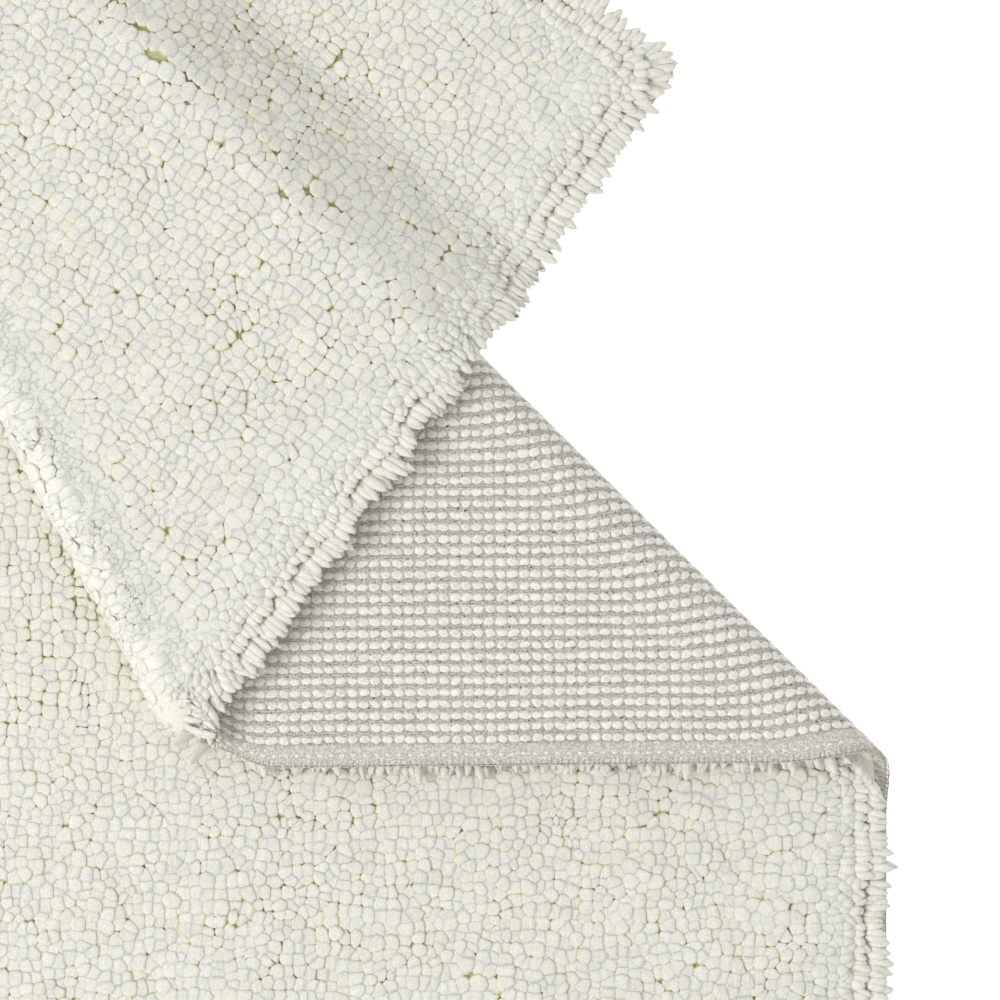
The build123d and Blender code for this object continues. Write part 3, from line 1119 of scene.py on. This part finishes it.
    def tufts(self, chosen: Whole, tips: Array, form: TuftForm) -> Surface:
        """Builds the chosen tufts: rings of cell-shaped points carried up a bent line from root to tip.

        The line is a quadratic curve that leaves the weave squarely. A ring's point is the line's
        point plus the cell's radius, times the form's width there, along the ring's directions.

        Args:
            chosen: Grid numbers of the tufts, as flat indices.
            tips: Tip points of the whole grid, in millimetres.
            form: Sides and outline of each tuft.

        Returns:
            The tufts with their rise, which sets their painted shade, and tone at each point.
        """
        lay = self.lay
        across, along = self.across.ravel()[chosen], self.along.ravel()[chosen]
        tip_across, tip_along = self.tip_across.ravel()[chosen], self.tip_along.ravel()[chosen]
        tip_rise, point = self.tip_rise.ravel()[chosen], self.point.ravel()[chosen]
        root = lay.place(across, along, np.full(across.shape, self.root_height))
        stand = lay.facing(across, along, np.full(across.shape, self.root_height))
        tip = tips.reshape(-1, 3)[chosen]
        face = lay.facing(tip_across, tip_along, tip_rise)
        first = lay.running(tip_across, tip_along, tip_rise, (0.5, 0.0))
        first = unit(first - face * (first * face).sum(-1, keepdims=True))
        second = np.cross(face, first)
        cell = self.cells(chosen, tips, first, second, form.sides)

        blend = point[:, None]
        rises = (1 - blend) * np.array(form.dome_rises) + blend * np.array(form.lock_rises)
        widths = (1 - blend) * np.array(form.dome_widths) + blend * np.array(form.lock_widths)
        length = np.linalg.norm(tip - root, axis=-1, keepdims=True)
        elbow = root + stand * length * 0.62
        rise = rises[..., None]
        line = (1 - rise) ** 2 * root[:, None] + 2 * rise * (1 - rise) * elbow[:, None]
        line = line + rise**2 * tip[:, None]
        ahead = unit(2 * (1 - rise) * (elbow - root)[:, None] + 2 * rise * (tip - elbow)[:, None])
        axis = unit((1 - blend[..., None]) * face[:, None] + blend[..., None] * ahead)
        ring_first = unit(first[:, None] - axis * (first[:, None] * axis).sum(-1, keepdims=True))
        ring_second = np.cross(axis, ring_first)
        turns = 2 * math.pi * np.arange(form.sides) / form.sides
        uneven = np.random.default_rng(self.seed + 4)
        uneven = uneven.normal(1.0, 0.085, (self.row.size, form.sides))[chosen]
        reach = cell[:, None, :] * widths[..., None] * np.clip(uneven, 0.8, 1.2)[:, None, :]
        rim = (
            ring_first[:, :, None] * (reach * np.cos(turns))[..., None]
            + ring_second[:, :, None] * (reach * np.sin(turns))[..., None]
        )
        rings = line[:, :, None] + rim
        count, levels, sides = len(chosen), len(form.dome_rises), form.sides
        per_tuft = levels * sides + 1
        points = np.concatenate([rings.reshape(count, -1, 3), tip[:, None]], 1).reshape(-1, 3)
        starts = np.arange(count) * per_tuft
        # The rise picks the painted shade: low rings are painted as shaded roots and seams; laid and
        # stretched tufts are painted near the tips' colour, without that shade.
        stretched = soft_step((self.stretch.ravel()[chosen] - 1.12) / 0.5)
        laid = np.maximum(soft_step(self.lean.ravel()[chosen] / 5.0), stretched)[:, None]
        shade_rise = rises * (1 - laid) + laid * (self.laid_rise + self.laid_growth * rises)
        shade_rise = np.concatenate([np.repeat(shade_rise, sides, 1), np.ones((count, 1))], 1)
        tone = np.random.default_rng(self.seed + 2).uniform(0.0, 1.0, self.row.size)[chosen]
        clump_tone = np.random.default_rng(self.seed + 3).uniform(0.0, 1.0, self.clump.max() + 1)
        tone = 0.6 * tone + 0.4 * clump_tone[self.clump.ravel()[chosen]]
        round_way = np.abs(2 * np.arange(sides) / sides - 1)
        chart_round = np.concatenate([np.tile(round_way, levels), [0.5]])[None] + 7.0 * tone[:, None]
        chart_run = np.concatenate([np.repeat(rises, sides, 1), np.ones((count, 1))], 1) * length / 5.5
        return Surface(
            points,
            domed_faces(levels, sides, starts),
            {"rise": shade_rise.ravel(), "tone": np.repeat(tone, per_tuft)},
            np.stack(np.broadcast_arrays(chart_round, chart_run), -1).reshape(-1, 2),
        )

    def covered(self) -> Mask:
        """Which of the grid's places lie under another layer, away from any edge that shows them."""
        lay = self.lay
        margin = 20.0
        spot = np.stack([self.across, self.along], -1) - lay.apex
        one = mirrored(spot, lay.normal_one)
        two = mirrored(mirrored(spot, lay.normal_two), lay.normal_one)
        under_flap = self._within(one + lay.apex, margin)
        under_flap &= lay.past_one(*self._pair(one)) > lay.bend_one_path + 8
        under_flap &= lay.past_two(*self._pair(one)) < 20.0
        under_top = self._within(two + lay.apex, margin)
        under_top &= lay.past_two(*self._pair(two)) > margin
        base = ~self.turned
        inner = (self.across > 26.0) & (self.across < lay.width - 26.0)
        inner &= (self.along > 20.0) & (self.along < lay.length - 20.0)
        past_one = lay.past_one(self.across, self.along)
        past_two = lay.past_two(self.across, self.along)
        in_bend = base & (past_one > -14.0)
        turned = self.turned & (past_two < -26.0)
        return inner & ((base & (under_flap | under_top)) | in_bend | turned)

    def _pair(self, offset: Array) -> tuple[Array, Array]:
        """Across and along of offsets from the apex."""
        place = offset + self.lay.apex
        return place[..., 0], place[..., 1]

    def _within(self, place: Array, margin: float) -> Mask:
        """Whether a place is on the flat mat and further than the margin from its edges."""
        across, along = place[..., 0], place[..., 1]
        within = (across > margin) & (across < self.lay.width - margin)
        return within & (along > margin) & (along < self.lay.length - margin)

    def beds(self, wool: bpy.types.Material) -> list[Finished]:
        """Builds the matted fibres between the tufts: a slab a little lower than the tips.

        The slab's top is the bed's height with smooth ripples. It dips inside the first bend,
        is drawn up round the second and is rounded off towards the edges. Its colour is painted
        shade: olive for the shaded gaps between tufts, and near the tips' colour, without that
        shade, towards the edges and in the bends.

        Args:
            wool: The pile's finish.

        Returns:
            One slab for the whole mat, standing for no node of its own.
        """
        lay = self.lay
        across = np.concatenate([[5.0, 5.6, 7.5, 10.5, 15.0, 21.0], np.linspace(29.0, lay.width / 2, 26)])
        across = np.concatenate([across, lay.width - across[-2::-1]])
        along = zoned_along(lay, across, 6.0, lay.length - 6.0, (44, 22, 24, 18, 84))
        inside = np.minimum(
            np.minimum(across, lay.width - across)[:, None] - 4.5, np.minimum(along, lay.length - along) - 5.5
        )
        edge = np.sqrt(np.clip(1 - (1 - np.clip(inside / 17.0, 0, 1)) ** 2, 0, 1))
        past_one = lay.past_one(across[:, None], along)
        past_two = lay.past_two(across[:, None], along)
        in_bend = self.in_bend_one(past_one)
        top = self.bed_height + 0.35 * ripples(across[:, None], along, 90.0, 6)
        top = top - self.bed_dip * in_bend
        top = top - 0.25 * np.abs(ripples(across[:, None], along, 24.0, 31))
        pressed = (past_one > -6.0) & (past_two < -12.0)
        top = np.where(pressed, top - 1.0, top)
        half = lay.bend_two_path / 2
        from_fold = np.maximum(np.abs(past_two - half) - half, 0.0)
        drawn = np.exp(-((from_fold / self.drawn_reach) ** 2))
        top = top + self.drawn_lift * drawn
        high = 3.2 + (top - 3.2) * edge
        low = np.full_like(high, 3.05)
        surface = folded_slab(lay, across, along, low, high, (lay.width, lay.length))
        # Painted shade: the slab is painted olive as the shaded gaps between tufts, and near the tips' colour
        # towards the edges and in the bends.
        unshaded = np.maximum(np.maximum(drawn, in_bend), 1 - soft_step((inside - 9.0) / 14.0))
        unshaded = np.concatenate([unshaded, unshaded[::-1]]).T
        surface.values = {
            "rise": (self.bed_shade_rise + (self.unshaded_rise - self.bed_shade_rise) * unshaded).ravel(),
            "tone": np.full(len(surface.points), 0.5),
        }
        return [Finished(surface.mesh_object("matted_fibres", wool), Slot.WOOL)]

    def build(self, wool: bpy.types.Material) -> list[Finished]:
        """Builds every stretch of pile, in pieces of less than the limit of triangles.

        Args:
            wool: The pile's finish.

        Returns:
            The pieces, each standing for its layer's node.
        """
        self.plan_tips()
        tips = self.lay.place(self.tip_across, self.tip_along, self.tip_rise)
        covered = self.covered()
        past_two = self.lay.past_two(self.across, self.along)
        near_fold = self.turned & (past_two > -self.fold_half)
        near_fold &= past_two < self.lay.bend_two_path + self.fold_half
        masks = {
            Layer.BASE: ~self.turned,
            Layer.TURNED: self.turned & ~self.on_top & ~near_fold,
            Layer.FOLD: near_fold,
            Layer.TOP: self.on_top & ~near_fold,
        }
        made = self.beds(wool)
        for layer, mask in masks.items():
            for label, form, which in (("", SHOWN_FORM, ~covered), ("_under", HIDDEN_FORM, covered)):
                chosen = np.flatnonzero((mask & which & self.alive).ravel())
                if not len(chosen):
                    continue
                chosen = chosen[np.argsort(self.along.ravel()[chosen], kind="stable")]
                each = (len(form.dome_rises) - 1) * form.sides * 2 + 2 * form.sides - 2
                parts = math.ceil(len(chosen) * each / self.limit)
                for number, block in enumerate(np.array_split(chosen, parts)):
                    suffix = f"_{number + 1}" if parts > 1 else ""
                    surface = self.tufts(block, tips, form)
                    piece = surface.mesh_object(f"{layer.value}{label}_tufts{suffix}", wool)
                    made.append(Finished(piece, Slot.WOOL, (layer.value,)))
        return made


def merged(parts: list[Surface]) -> Surface:
    """Many surfaces as one, with every part's faces renumbered."""
    shifts = np.concatenate([[0], np.cumsum([len(part.points) for part in parts])[:-1]])
    by_sides: dict[int, list[Whole]] = {}
    for part, shift in zip(parts, shifts):
        for block in part.faces:
            by_sides.setdefault(block.shape[1], []).append(block + shift)
    values = {name: np.concatenate([part.values[name] for part in parts]) for name in parts[0].values}
    chart = None if parts[0].chart is None else np.concatenate([part.chart for part in parts])
    return Surface(
        np.concatenate([part.points for part in parts]),
        [np.concatenate(blocks) for blocks in by_sides.values()],
        values,
        chart,
    )


def zoned_along(lay: FoldedLay, across: Array, low: float, high: float, counts: tuple[int, ...]) -> Array:
    """Places along the mat that crowd at the bends, for each place across it.

    Args:
        lay: The folded lay, whose creases slant across the mat.
        across: Places across the mat.
        low: The first place along.
        high: The last place along.
        counts: Steps on the base, the first bend, the flap, the second bend and the top layer.

    Returns:
        One row for each place across, which rises from low to high.
    """
    zero, one = np.zeros_like(across), np.ones_like(across)
    slope_one = lay.past_one(zero, one) - lay.past_one(zero, zero)
    slope_two = lay.past_two(zero, one) - lay.past_two(zero, zero)
    start_one, start_two = lay.past_one(across, zero), lay.past_two(across, zero)
    stops = [
        np.full_like(across, low),
        (-14.0 - start_one) / slope_one,
        (lay.bend_one_path + 14.0 - start_one) / slope_one,
        (-4.0 - start_two) / slope_two,
        (lay.bend_two_path + 4.0 - start_two) / slope_two,
        np.full_like(across, high),
    ]
    stops = np.maximum.accumulate(np.stack(stops, -1), -1)
    rows = [
        stops[:, zone, None] + (stops[:, zone + 1] - stops[:, zone])[:, None] * np.arange(count) / count
        for zone, count in enumerate(counts)
    ]
    return np.concatenate([*rows, stops[:, -1:]], -1)


def folded_slab(
    lay: FoldedLay,
    across: Array,
    along: Array,
    low: Array,
    high: Array,
    chart_scale: tuple[float, float],
) -> Surface:
    """A closed slab of cloth: its pile side, then its back, carried as rings along the mat.

    Args:
        lay: The folded lay.
        across: Places across the mat.
        along: Places along it, one row for each place across.
        low: The back's height at each place across, or at each place of the grid.
        high: The pile side's height at each place across, or at each place of the grid.
        chart_scale: What the chart's two values are divided by.

    Returns:
        The slab, closed all round.
    """
    high = np.broadcast_to(high.reshape(len(across), -1), along.shape)
    low = np.broadcast_to(low.reshape(len(across), -1), along.shape)
    ring_across = np.concatenate([across, across[::-1]])
    ring_height = np.concatenate([high, low[::-1]]).T
    ring_along = np.concatenate([along, along[::-1]]).T
    points = lay.place(ring_across[None], ring_along, ring_height)
    rings, sides = ring_along.shape
    scaled = ring_across[None] / chart_scale[0], ring_along / chart_scale[1]
    chart = np.stack(np.broadcast_arrays(*scaled), -1)
    step = np.arange(len(across) - 1)
    end = np.stack([step, step + 1, sides - 2 - step, sides - 1 - step], -1)
    return Surface(
        points.reshape(-1, 3),
        [ring_faces(rings, sides, 1), end[:, ::-1], end + (rings - 1) * sides],
        {},
        chart.reshape(-1, 2),
    )


@dataclass
class GroundWeave:
    """The woven ground: the folded sheet, and on the flap the knots' backs and the weft picks."""

    lay: FoldedLay
    pile: Pile
    side: float = 4.2
    band: float = 9.6
    back: float = 1.0
    face: float = 2.8
    knot_half_along: float = 2.95
    knot_half_across: float = 2.0
    pick_radius: float = 0.90
    steps: tuple[int, ...] = (40, 22, 30, 14, 70)
    seed: int = 41

    def sheet(self) -> Surface:
        """The plain sheet, from band to band and from side to side."""
        across = np.linspace(self.band, self.lay.width - self.band, 60)
        along = zoned_along(self.lay, across, self.side, self.lay.length - self.side, self.steps)
        flat = np.ones_like(across)
        return folded_slab(
            self.lay, across, along, self.back * flat, self.face * flat, (self.lay.width, self.lay.length)
        )

    def in_view(self, across: Array, along: Array) -> Mask:
        """Whether the back shows at a place: past the first fold, and not far under the top layer."""
        lay = self.lay
        past_one, past_two = lay.past_one(across, along), lay.past_two(across, along)
        spot = np.stack(np.broadcast_arrays(across, along), -1) - lay.apex
        folded = mirrored(spot, lay.normal_one)
        top = mirrored(mirrored(folded, lay.normal_two), lay.normal_one) + lay.apex
        hidden = (top[..., 0] < lay.width - 16.0) & (top[..., 1] < lay.length - 16.0)
        return (past_one > -16.0) & (past_two < 3.0) & ~(hidden & (past_one > lay.bend_one_path))

    def knots(self) -> Surface:
        """The knots' backs: rounded oblong domes on the weave's back.

        The outline is |x|^3 + |y|^3 = 1, drawn in at each ring towards the dome's middle.
        """
        rng = np.random.default_rng(self.seed)
        across = self.pile.across[::2, ::2]
        along = self.pile.along[::2, ::2]
        chosen = self.in_view(across, along)
        across, along = across[chosen], along[chosen]
        count, sides = len(across), 8
        across = across + rng.normal(0.0, 0.10, count) + 0.12 * ripples(across, along, 70.0, 44)
        along = along + rng.normal(0.0, 0.16, count)
        wide = self.knot_half_along * rng.uniform(0.90, 1.06, count)
        tall = self.knot_half_across * rng.uniform(0.86, 1.08, count)
        slant = rng.normal(0.0, 0.10, count)
        turns = 2 * math.pi * (np.arange(sides) + 0.5) / sides
        cosine, sine = np.cos(turns), np.sin(turns)
        rounding = (np.abs(cosine) ** 3 + np.abs(sine) ** 3) ** (-1 / 3)
        shares = np.array([1.0, 0.86, 0.50])
        heights = np.array([1.25, 0.47, 0.16])
        ragged = rng.normal(1.0, 0.10, (count, 1, sides))
        x = shares[:, None] * cosine * rounding * ragged
        y = shares[:, None] * sine * rounding * ragged
        bulge = np.maximum(rng.normal(0.0, 0.09, count), -0.06)[:, None, None]
        # The dome faces the weave's back, so its rings run the other way round
        ring_along = along[:, None, None] + wide[:, None, None] * x
        ring_across = across[:, None, None] + tall[:, None, None] * y
        ring_across = ring_across + slant[:, None, None] * x * wide[:, None, None]
        height = heights[:, None] + np.zeros(sides) + bulge * np.array([0, 1, 1])[:, None]
        rings = self.lay.place(ring_across, ring_along, height)
        peak = self.lay.place(across, along, 0.08 + bulge[:, 0, 0])
        levels = len(shares)
        per_knot = levels * sides + 1
        points = np.concatenate([rings.reshape(count, -1, 3), peak[:, None]], 1).reshape(-1, 3)
        starts = np.arange(count) * per_knot
        turn = x * 0.5 + rng.uniform(0, 1, count)[:, None, None]
        run = np.broadcast_to(y, (count, levels, sides)) * 1.5
        peak_chart = np.zeros((count, 1))
        chart = [np.concatenate([part.reshape(count, -1), peak_chart], 1) for part in (turn, run)]
        return Surface(
            points,
            domed_faces(levels, sides, starts),
            {},
            np.stack(chart, -1).reshape(-1, 2),
        )

    def picks(self) -> Surface:
        """The weft: two picks between each two rows of knots, which rise and dip in turn.

        A pick's height is a sine along the mat of the knots' pitch, half a turn apart for the two.
        """
        rows = self.pile.across[::2, 0]
        middles = np.concatenate([[rows[0] - 2.6], (rows[1:] + rows[:-1]) / 2, [rows[-1] + 2.6]])
        pitch = (self.lay.length - 2 * self.pile.first_along) / (self.pile.columns - 1)
        parts = []
        for number, middle in enumerate(middles):
            along = np.arange(self.side, self.lay.length - self.side, pitch / 3)
            shown = self.in_view(np.full_like(along, middle), along)
            if shown.sum() < 4:
                continue
            along = along[shown]
            for lane in (-1.0, 1.0):
                phase = math.pi * (lane + 1) / 2 + number * 1.3
                wave = np.sin(2 * math.pi * along / pitch + phase)
                drift = 0.12 * np.sin(along / 23.0 + 3.1 * number + lane)
                drift = drift + 0.12 * ripples(middle, along, 70.0, 44)
                across = middle + lane * 0.50 + drift
                line = self.lay.place(across, along, 1.14 - 0.18 * wave)
                stand = self.lay.facing(across, along, np.zeros_like(along))
                width = self.pick_radius * (1 + 0.07 * np.sin(along / 7.7 + number))
                width[[0, -1]] = 0.05
                parts.append(carried_tube(line, stand, width, 4))
        return merged(parts)

    def build(self, finishes: Finishes) -> list[Finished]:
        """Builds the sheet, the knots' backs and the weft picks, the sheet first."""
        return [
            Finished(
                self.sheet().mesh_object("ground_sheet", finishes.cloth), Slot.CLOTH, ("ground_weave",)
            ),
            Finished(self.knots().mesh_object("knot_backs", finishes.knot), Slot.WOOL),
            Finished(self.picks().mesh_object("weft_picks", finishes.pick), Slot.CLOTH),
        ]


class End(Enum):
    """The mat's two banded ends: the node prefix and the direction outwards."""

    LEFT = ("left", -1.0)
    RIGHT = ("right", 1.0)

    @property
    def label(self) -> str:
        """The prefix of the end's nodes."""
        return self.value[0]

    def across(self, lay: FoldedLay, inside: Array | float) -> Array | float:
        """Places across the mat at distances inside this end."""
        return lay.width - inside if self is End.RIGHT else 0.0 * inside + inside


@dataclass
class EndBand:
    """A hemmed end: the close-woven band, the overlock loops on its edge and a row of stitches."""

    lay: FoldedLay
    end: End
    width: float = 10.0
    side: float = 4.4
    loop_pitch: float = 2.5
    loop_thread: float = 0.32
    stitch_inset: float = 5.0
    stitch_pitch: float = 5.4
    steps: tuple[int, ...] = (60, 30, 90, 16, 130)

    def band(self) -> Surface:
        """The band: two flat strips with a shallow groove between them, under the stitches."""
        inside = np.array([0.2, 0.5, 1.6, 2.7, 3.3, 3.9, 5.0, 6.1, 6.7, 7.3, 8.4, 9.6, self.width])
        low = np.array([1.0, 0.55, 0.42, 0.40, 0.45, 0.70, 0.80, 0.66, 0.35, 0.15, 0.1, 0.2, 0.7])
        high = np.array([2.2, 2.9, 3.0, 3.0, 3.0, 3.0, 3.0, 3.0, 3.0, 3.0, 3.0, 3.0, 2.7])
        across = self.end.across(self.lay, inside)
        order = np.argsort(across)
        across, low, high = across[order], low[order], high[order]
        along = zoned_along(self.lay, across, self.side, self.lay.length - self.side, self.steps)
        return folded_slab(self.lay, across, along, low, high, (1.0, 1.0))

    def thread(self, inside: Array, along: Array, height: Array, radius: Array, sides: int) -> Surface:
        """A thread through flat places, in tube form, kept square by the mat's long direction."""
        across = self.end.across(self.lay, inside)
        line = self.lay.place(across, along, height)
        guide = self.lay.running(across, along, height, (0.0, 0.6))
        slope = np.abs((unit(np.gradient(line, axis=0)) * guide).sum(-1, keepdims=True))
        guide = np.where(slope > 0.9, self.lay.facing(across, along, height), guide)
        return carried_tube(line, guide, radius, sides)

    def overlock(self) -> Surface:
        """Loops round the edge: a helix flattened to an oblong, and a chain along the very edge."""
        turns = np.arange(0.0, (self.lay.length - 2 * self.side) / self.loop_pitch, 0.125)
        angle = 2 * math.pi * turns
        rng = np.random.default_rng(61)
        knots = np.arange(int(turns[-1]) + 3)
        wander = np.interp(turns, knots, rng.normal(0, 0.14, len(knots)))
        along = self.side + turns * self.loop_pitch + 0.9 * np.sin(angle) + 2.0 * wander
        flat = np.sign(np.sin(angle)) * np.abs(np.sin(angle)) ** 0.6
        inside = 1.55 - 1.95 * np.sign(np.cos(angle)) * np.abs(np.cos(angle)) ** 0.6 + wander
        height = 1.80 + 1.38 * flat
        loops = self.thread(inside, along, height, np.full(len(turns), self.loop_thread), 4)
        run = np.arange(self.side, self.lay.length - self.side, 1.2)
        sway = 0.35 * np.sin(run / 0.9) + 0.25 * np.sin(run / 31.0)
        chain = self.thread(
            -0.45 + 0.15 * sway, run, 1.1 + sway, np.full(len(run), self.loop_thread * 1.15), 5
        )
        return merged([loops, chain])

    def stitches(self) -> Surface:
        """A row of short stitches on each face: each a small capsule that dips at both ends."""
        starts = np.arange(self.side + 3.0, self.lay.length - self.side - 4.0, self.stitch_pitch)
        shares = np.array([0.0, 0.12, 0.35, 0.65, 0.88, 1.0])
        swell = np.array([0.25, 0.8, 1.0, 1.0, 0.8, 0.25])
        dip = np.array([0.75, 0.3, 0.0, 0.0, 0.3, 0.75])
        rng = np.random.default_rng(71)
        parts = []
        for start in starts:
            along = start + shares * self.stitch_pitch * 0.74
            inside = self.stitch_inset + rng.normal(0, 0.12) + rng.normal(0, 0.16) * (shares - 0.5)
            for surface, sign in ((0.88, 1.0), (3.1, -1.0)):
                parts.append(self.thread(inside + 0 * along, along, surface + sign * dip, 0.86 * swell, 6))
        return merged(parts)

    def build(self, finishes: Finishes) -> list[Finished]:
        """Builds the band, its overlock and its stitches."""
        label = self.end.label
        rows = (
            ("hem_band", self.band(), finishes.band, Slot.BAND, "end_band"),
            ("overlock_loops", self.overlock(), finishes.thread, Slot.THREAD, "overlock"),
            ("hem_stitches", self.stitches(), finishes.knot, Slot.THREAD, "hem_stitch"),
        )
        return [
            Finished(surface.mesh_object(f"{label}_{name}", material), slot, (f"{label}_{node}",))
            for name, surface, material, slot, node in rows
        ]


class Side(Enum):
    """The mat's two wrapped sides."""

    NEAR = "near"
    FAR = "far"


@dataclass
class WrappedSide:
    """A side of the mat: a core cord, wrapped closely with wool yarn."""

    lay: FoldedLay
    side: Side
    radius: float = 2.2
    core_radius: float = 1.2
    wrap_pitch: float = 1.9

    def middle(self) -> float:
        """The cord's place along the mat."""
        return self.radius if self.side is Side.NEAR else self.lay.length - self.radius

    def round_bar(self, across: Array, radii: Array, sides: int) -> Surface:
        """A bar along the side: upright rings, with a radius for each place round them."""
        turns = 2 * math.pi * np.arange(sides) / sides
        along = self.middle() + radii * np.cos(turns)
        height = self.radius + radii * np.sin(turns)
        points = self.lay.place(across[:, None], along, height)
        chart = np.stack(np.broadcast_arrays((turns / (2 * math.pi))[None], across[:, None]), -1)
        return Surface(
            points.reshape(-1, 3), tube_faces(len(across), sides), {}, chart.reshape(-1, 2)
        )

    def build(self, finishes: Finishes) -> list[Finished]:
        """Builds the wrapped yarn, whose ridges are |cos| of run plus turn, and the core cord."""
        sides = 10
        turns = 2 * math.pi * np.arange(sides) / sides
        across = np.arange(0.3, self.lay.width - 0.2, self.wrap_pitch / 4)
        ridge = np.abs(np.cos(math.pi * across[:, None] / self.wrap_pitch + turns / 2))
        wrap = self.round_bar(across, self.radius - 0.34 + 0.30 * ridge, sides)
        core_across = np.arange(-0.5, self.lay.width + 0.6, 4.0)
        core_across[-1] = self.lay.width + 0.5
        core = self.round_bar(core_across, np.full((len(core_across), 8), self.core_radius), 8)
        label = self.side.value
        rows = (
            ("wrapped_yarn", wrap, finishes.side_yarn, "side_wrap"),
            ("core_cord", core, finishes.side_core, "side_cord"),
        )
        return [
            Finished(bar.mesh_object(f"{label}_{name}", material), Slot.SIDE, (f"{label}_{node}",))
            for name, bar, material, node in rows
        ]


# ---------------------------------------------------------------- the studio


@dataclass(frozen=True)
class Studio:
    """A plain pale floor, soft light from above and a camera that looks straight down."""

    aim: tuple[float, float]
    camera_height: float = 5.0
    frame_width: float = 0.48
    sensor: float = 36.0
    sky: float = 0.66
    key_power: float = 48.0
    key_size: float = 1.4
    key_place: tuple[float, float, float] = (-1.9, -0.7, 2.4)
    key_tilt: float = 40.0
    key_turn: float = -70.0
    floor_half: float = 8.0
    floor_level: float = -0.0002

    def floor(self, material: bpy.types.Material) -> None:
        """Lays the floor just under the mat's lowest point."""
        signs = ((-1, -1), (1, -1), (1, 1), (-1, 1))
        corners = [(x * self.floor_half, y * self.floor_half, self.floor_level) for x, y in signs]
        mesh = bpy.data.meshes.new("studio_floor")
        mesh.from_pydata(corners, [], [(0, 1, 2, 3)])
        mesh.materials.append(material)
        floor = bpy.data.objects.new("studio_floor", mesh)
        bpy.context.scene.collection.objects.link(floor)

    def lights(self) -> None:
        """Sets an even pale surround and one large soft lamp on the left, a little to the near side."""
        world = bpy.data.worlds.new("studio")
        world.use_nodes = True
        background = world.node_tree.nodes["Background"]
        background.inputs["Color"].default_value = (1.0, 1.0, 1.0, 1.0)
        background.inputs["Strength"].default_value = self.sky
        bpy.context.scene.world = world
        lamp = bpy.data.lights.new("key", "AREA")
        lamp.shape, lamp.size, lamp.energy = "DISK", self.key_size, self.key_power
        key = bpy.data.objects.new("key", lamp)
        key.location = self.key_place
        key.rotation_euler = (math.radians(self.key_tilt), 0.0, math.radians(self.key_turn))
        bpy.context.scene.collection.objects.link(key)

    def camera(self) -> None:
        """Hangs the camera over the aim, so that the frame's width shows at the floor."""
        lens = bpy.data.cameras.new("camera")
        lens.sensor_width = self.sensor
        lens.lens = self.sensor * self.camera_height / self.frame_width
        lens.clip_start, lens.clip_end = 0.1, 50.0
        camera = bpy.data.objects.new("camera", lens)
        camera.location = (*self.aim, self.camera_height)
        bpy.context.scene.collection.objects.link(camera)
        bpy.context.scene.camera = camera

    def set_up(self, floor_material: bpy.types.Material) -> None:
        """Makes the floor, the lights and the camera, and keeps colours as they are lit."""
        self.floor(floor_material)
        self.lights()
        self.camera()
        view = bpy.context.scene.view_settings
        view.view_transform, view.look, view.exposure, view.gamma = "Standard", "None", 0.0, 1.0


def main() -> None:
    """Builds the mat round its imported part, and the studio."""
    logging.basicConfig(level=logging.INFO, format="%(name)s %(message)s")
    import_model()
    corner = (
        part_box("near_side_cord")[0].x / MILLIMETRE,
        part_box("near_side_wrap")[0].y / MILLIMETRE,
    )
    lay = FoldedLay(corner=corner)
    finishes = Finishes.made()
    aim = ((corner[0] + AIM_ACROSS) * MILLIMETRE, (corner[1] + AIM_ALONG) * MILLIMETRE)
    Studio(aim=aim).set_up(finishes.floor)

    pile = Pile(lay)
    rows = pile.build(finishes.wool)
    weave = GroundWeave(lay, pile).build(finishes)
    rows += weave
    for end in End:
        rows += EndBand(lay, end).build(finishes)
    for side in Side:
        rows += WrappedSide(lay, side).build(finishes)
    settled = [row.settle() for row in rows]


if __name__ == "__main__":
    main()
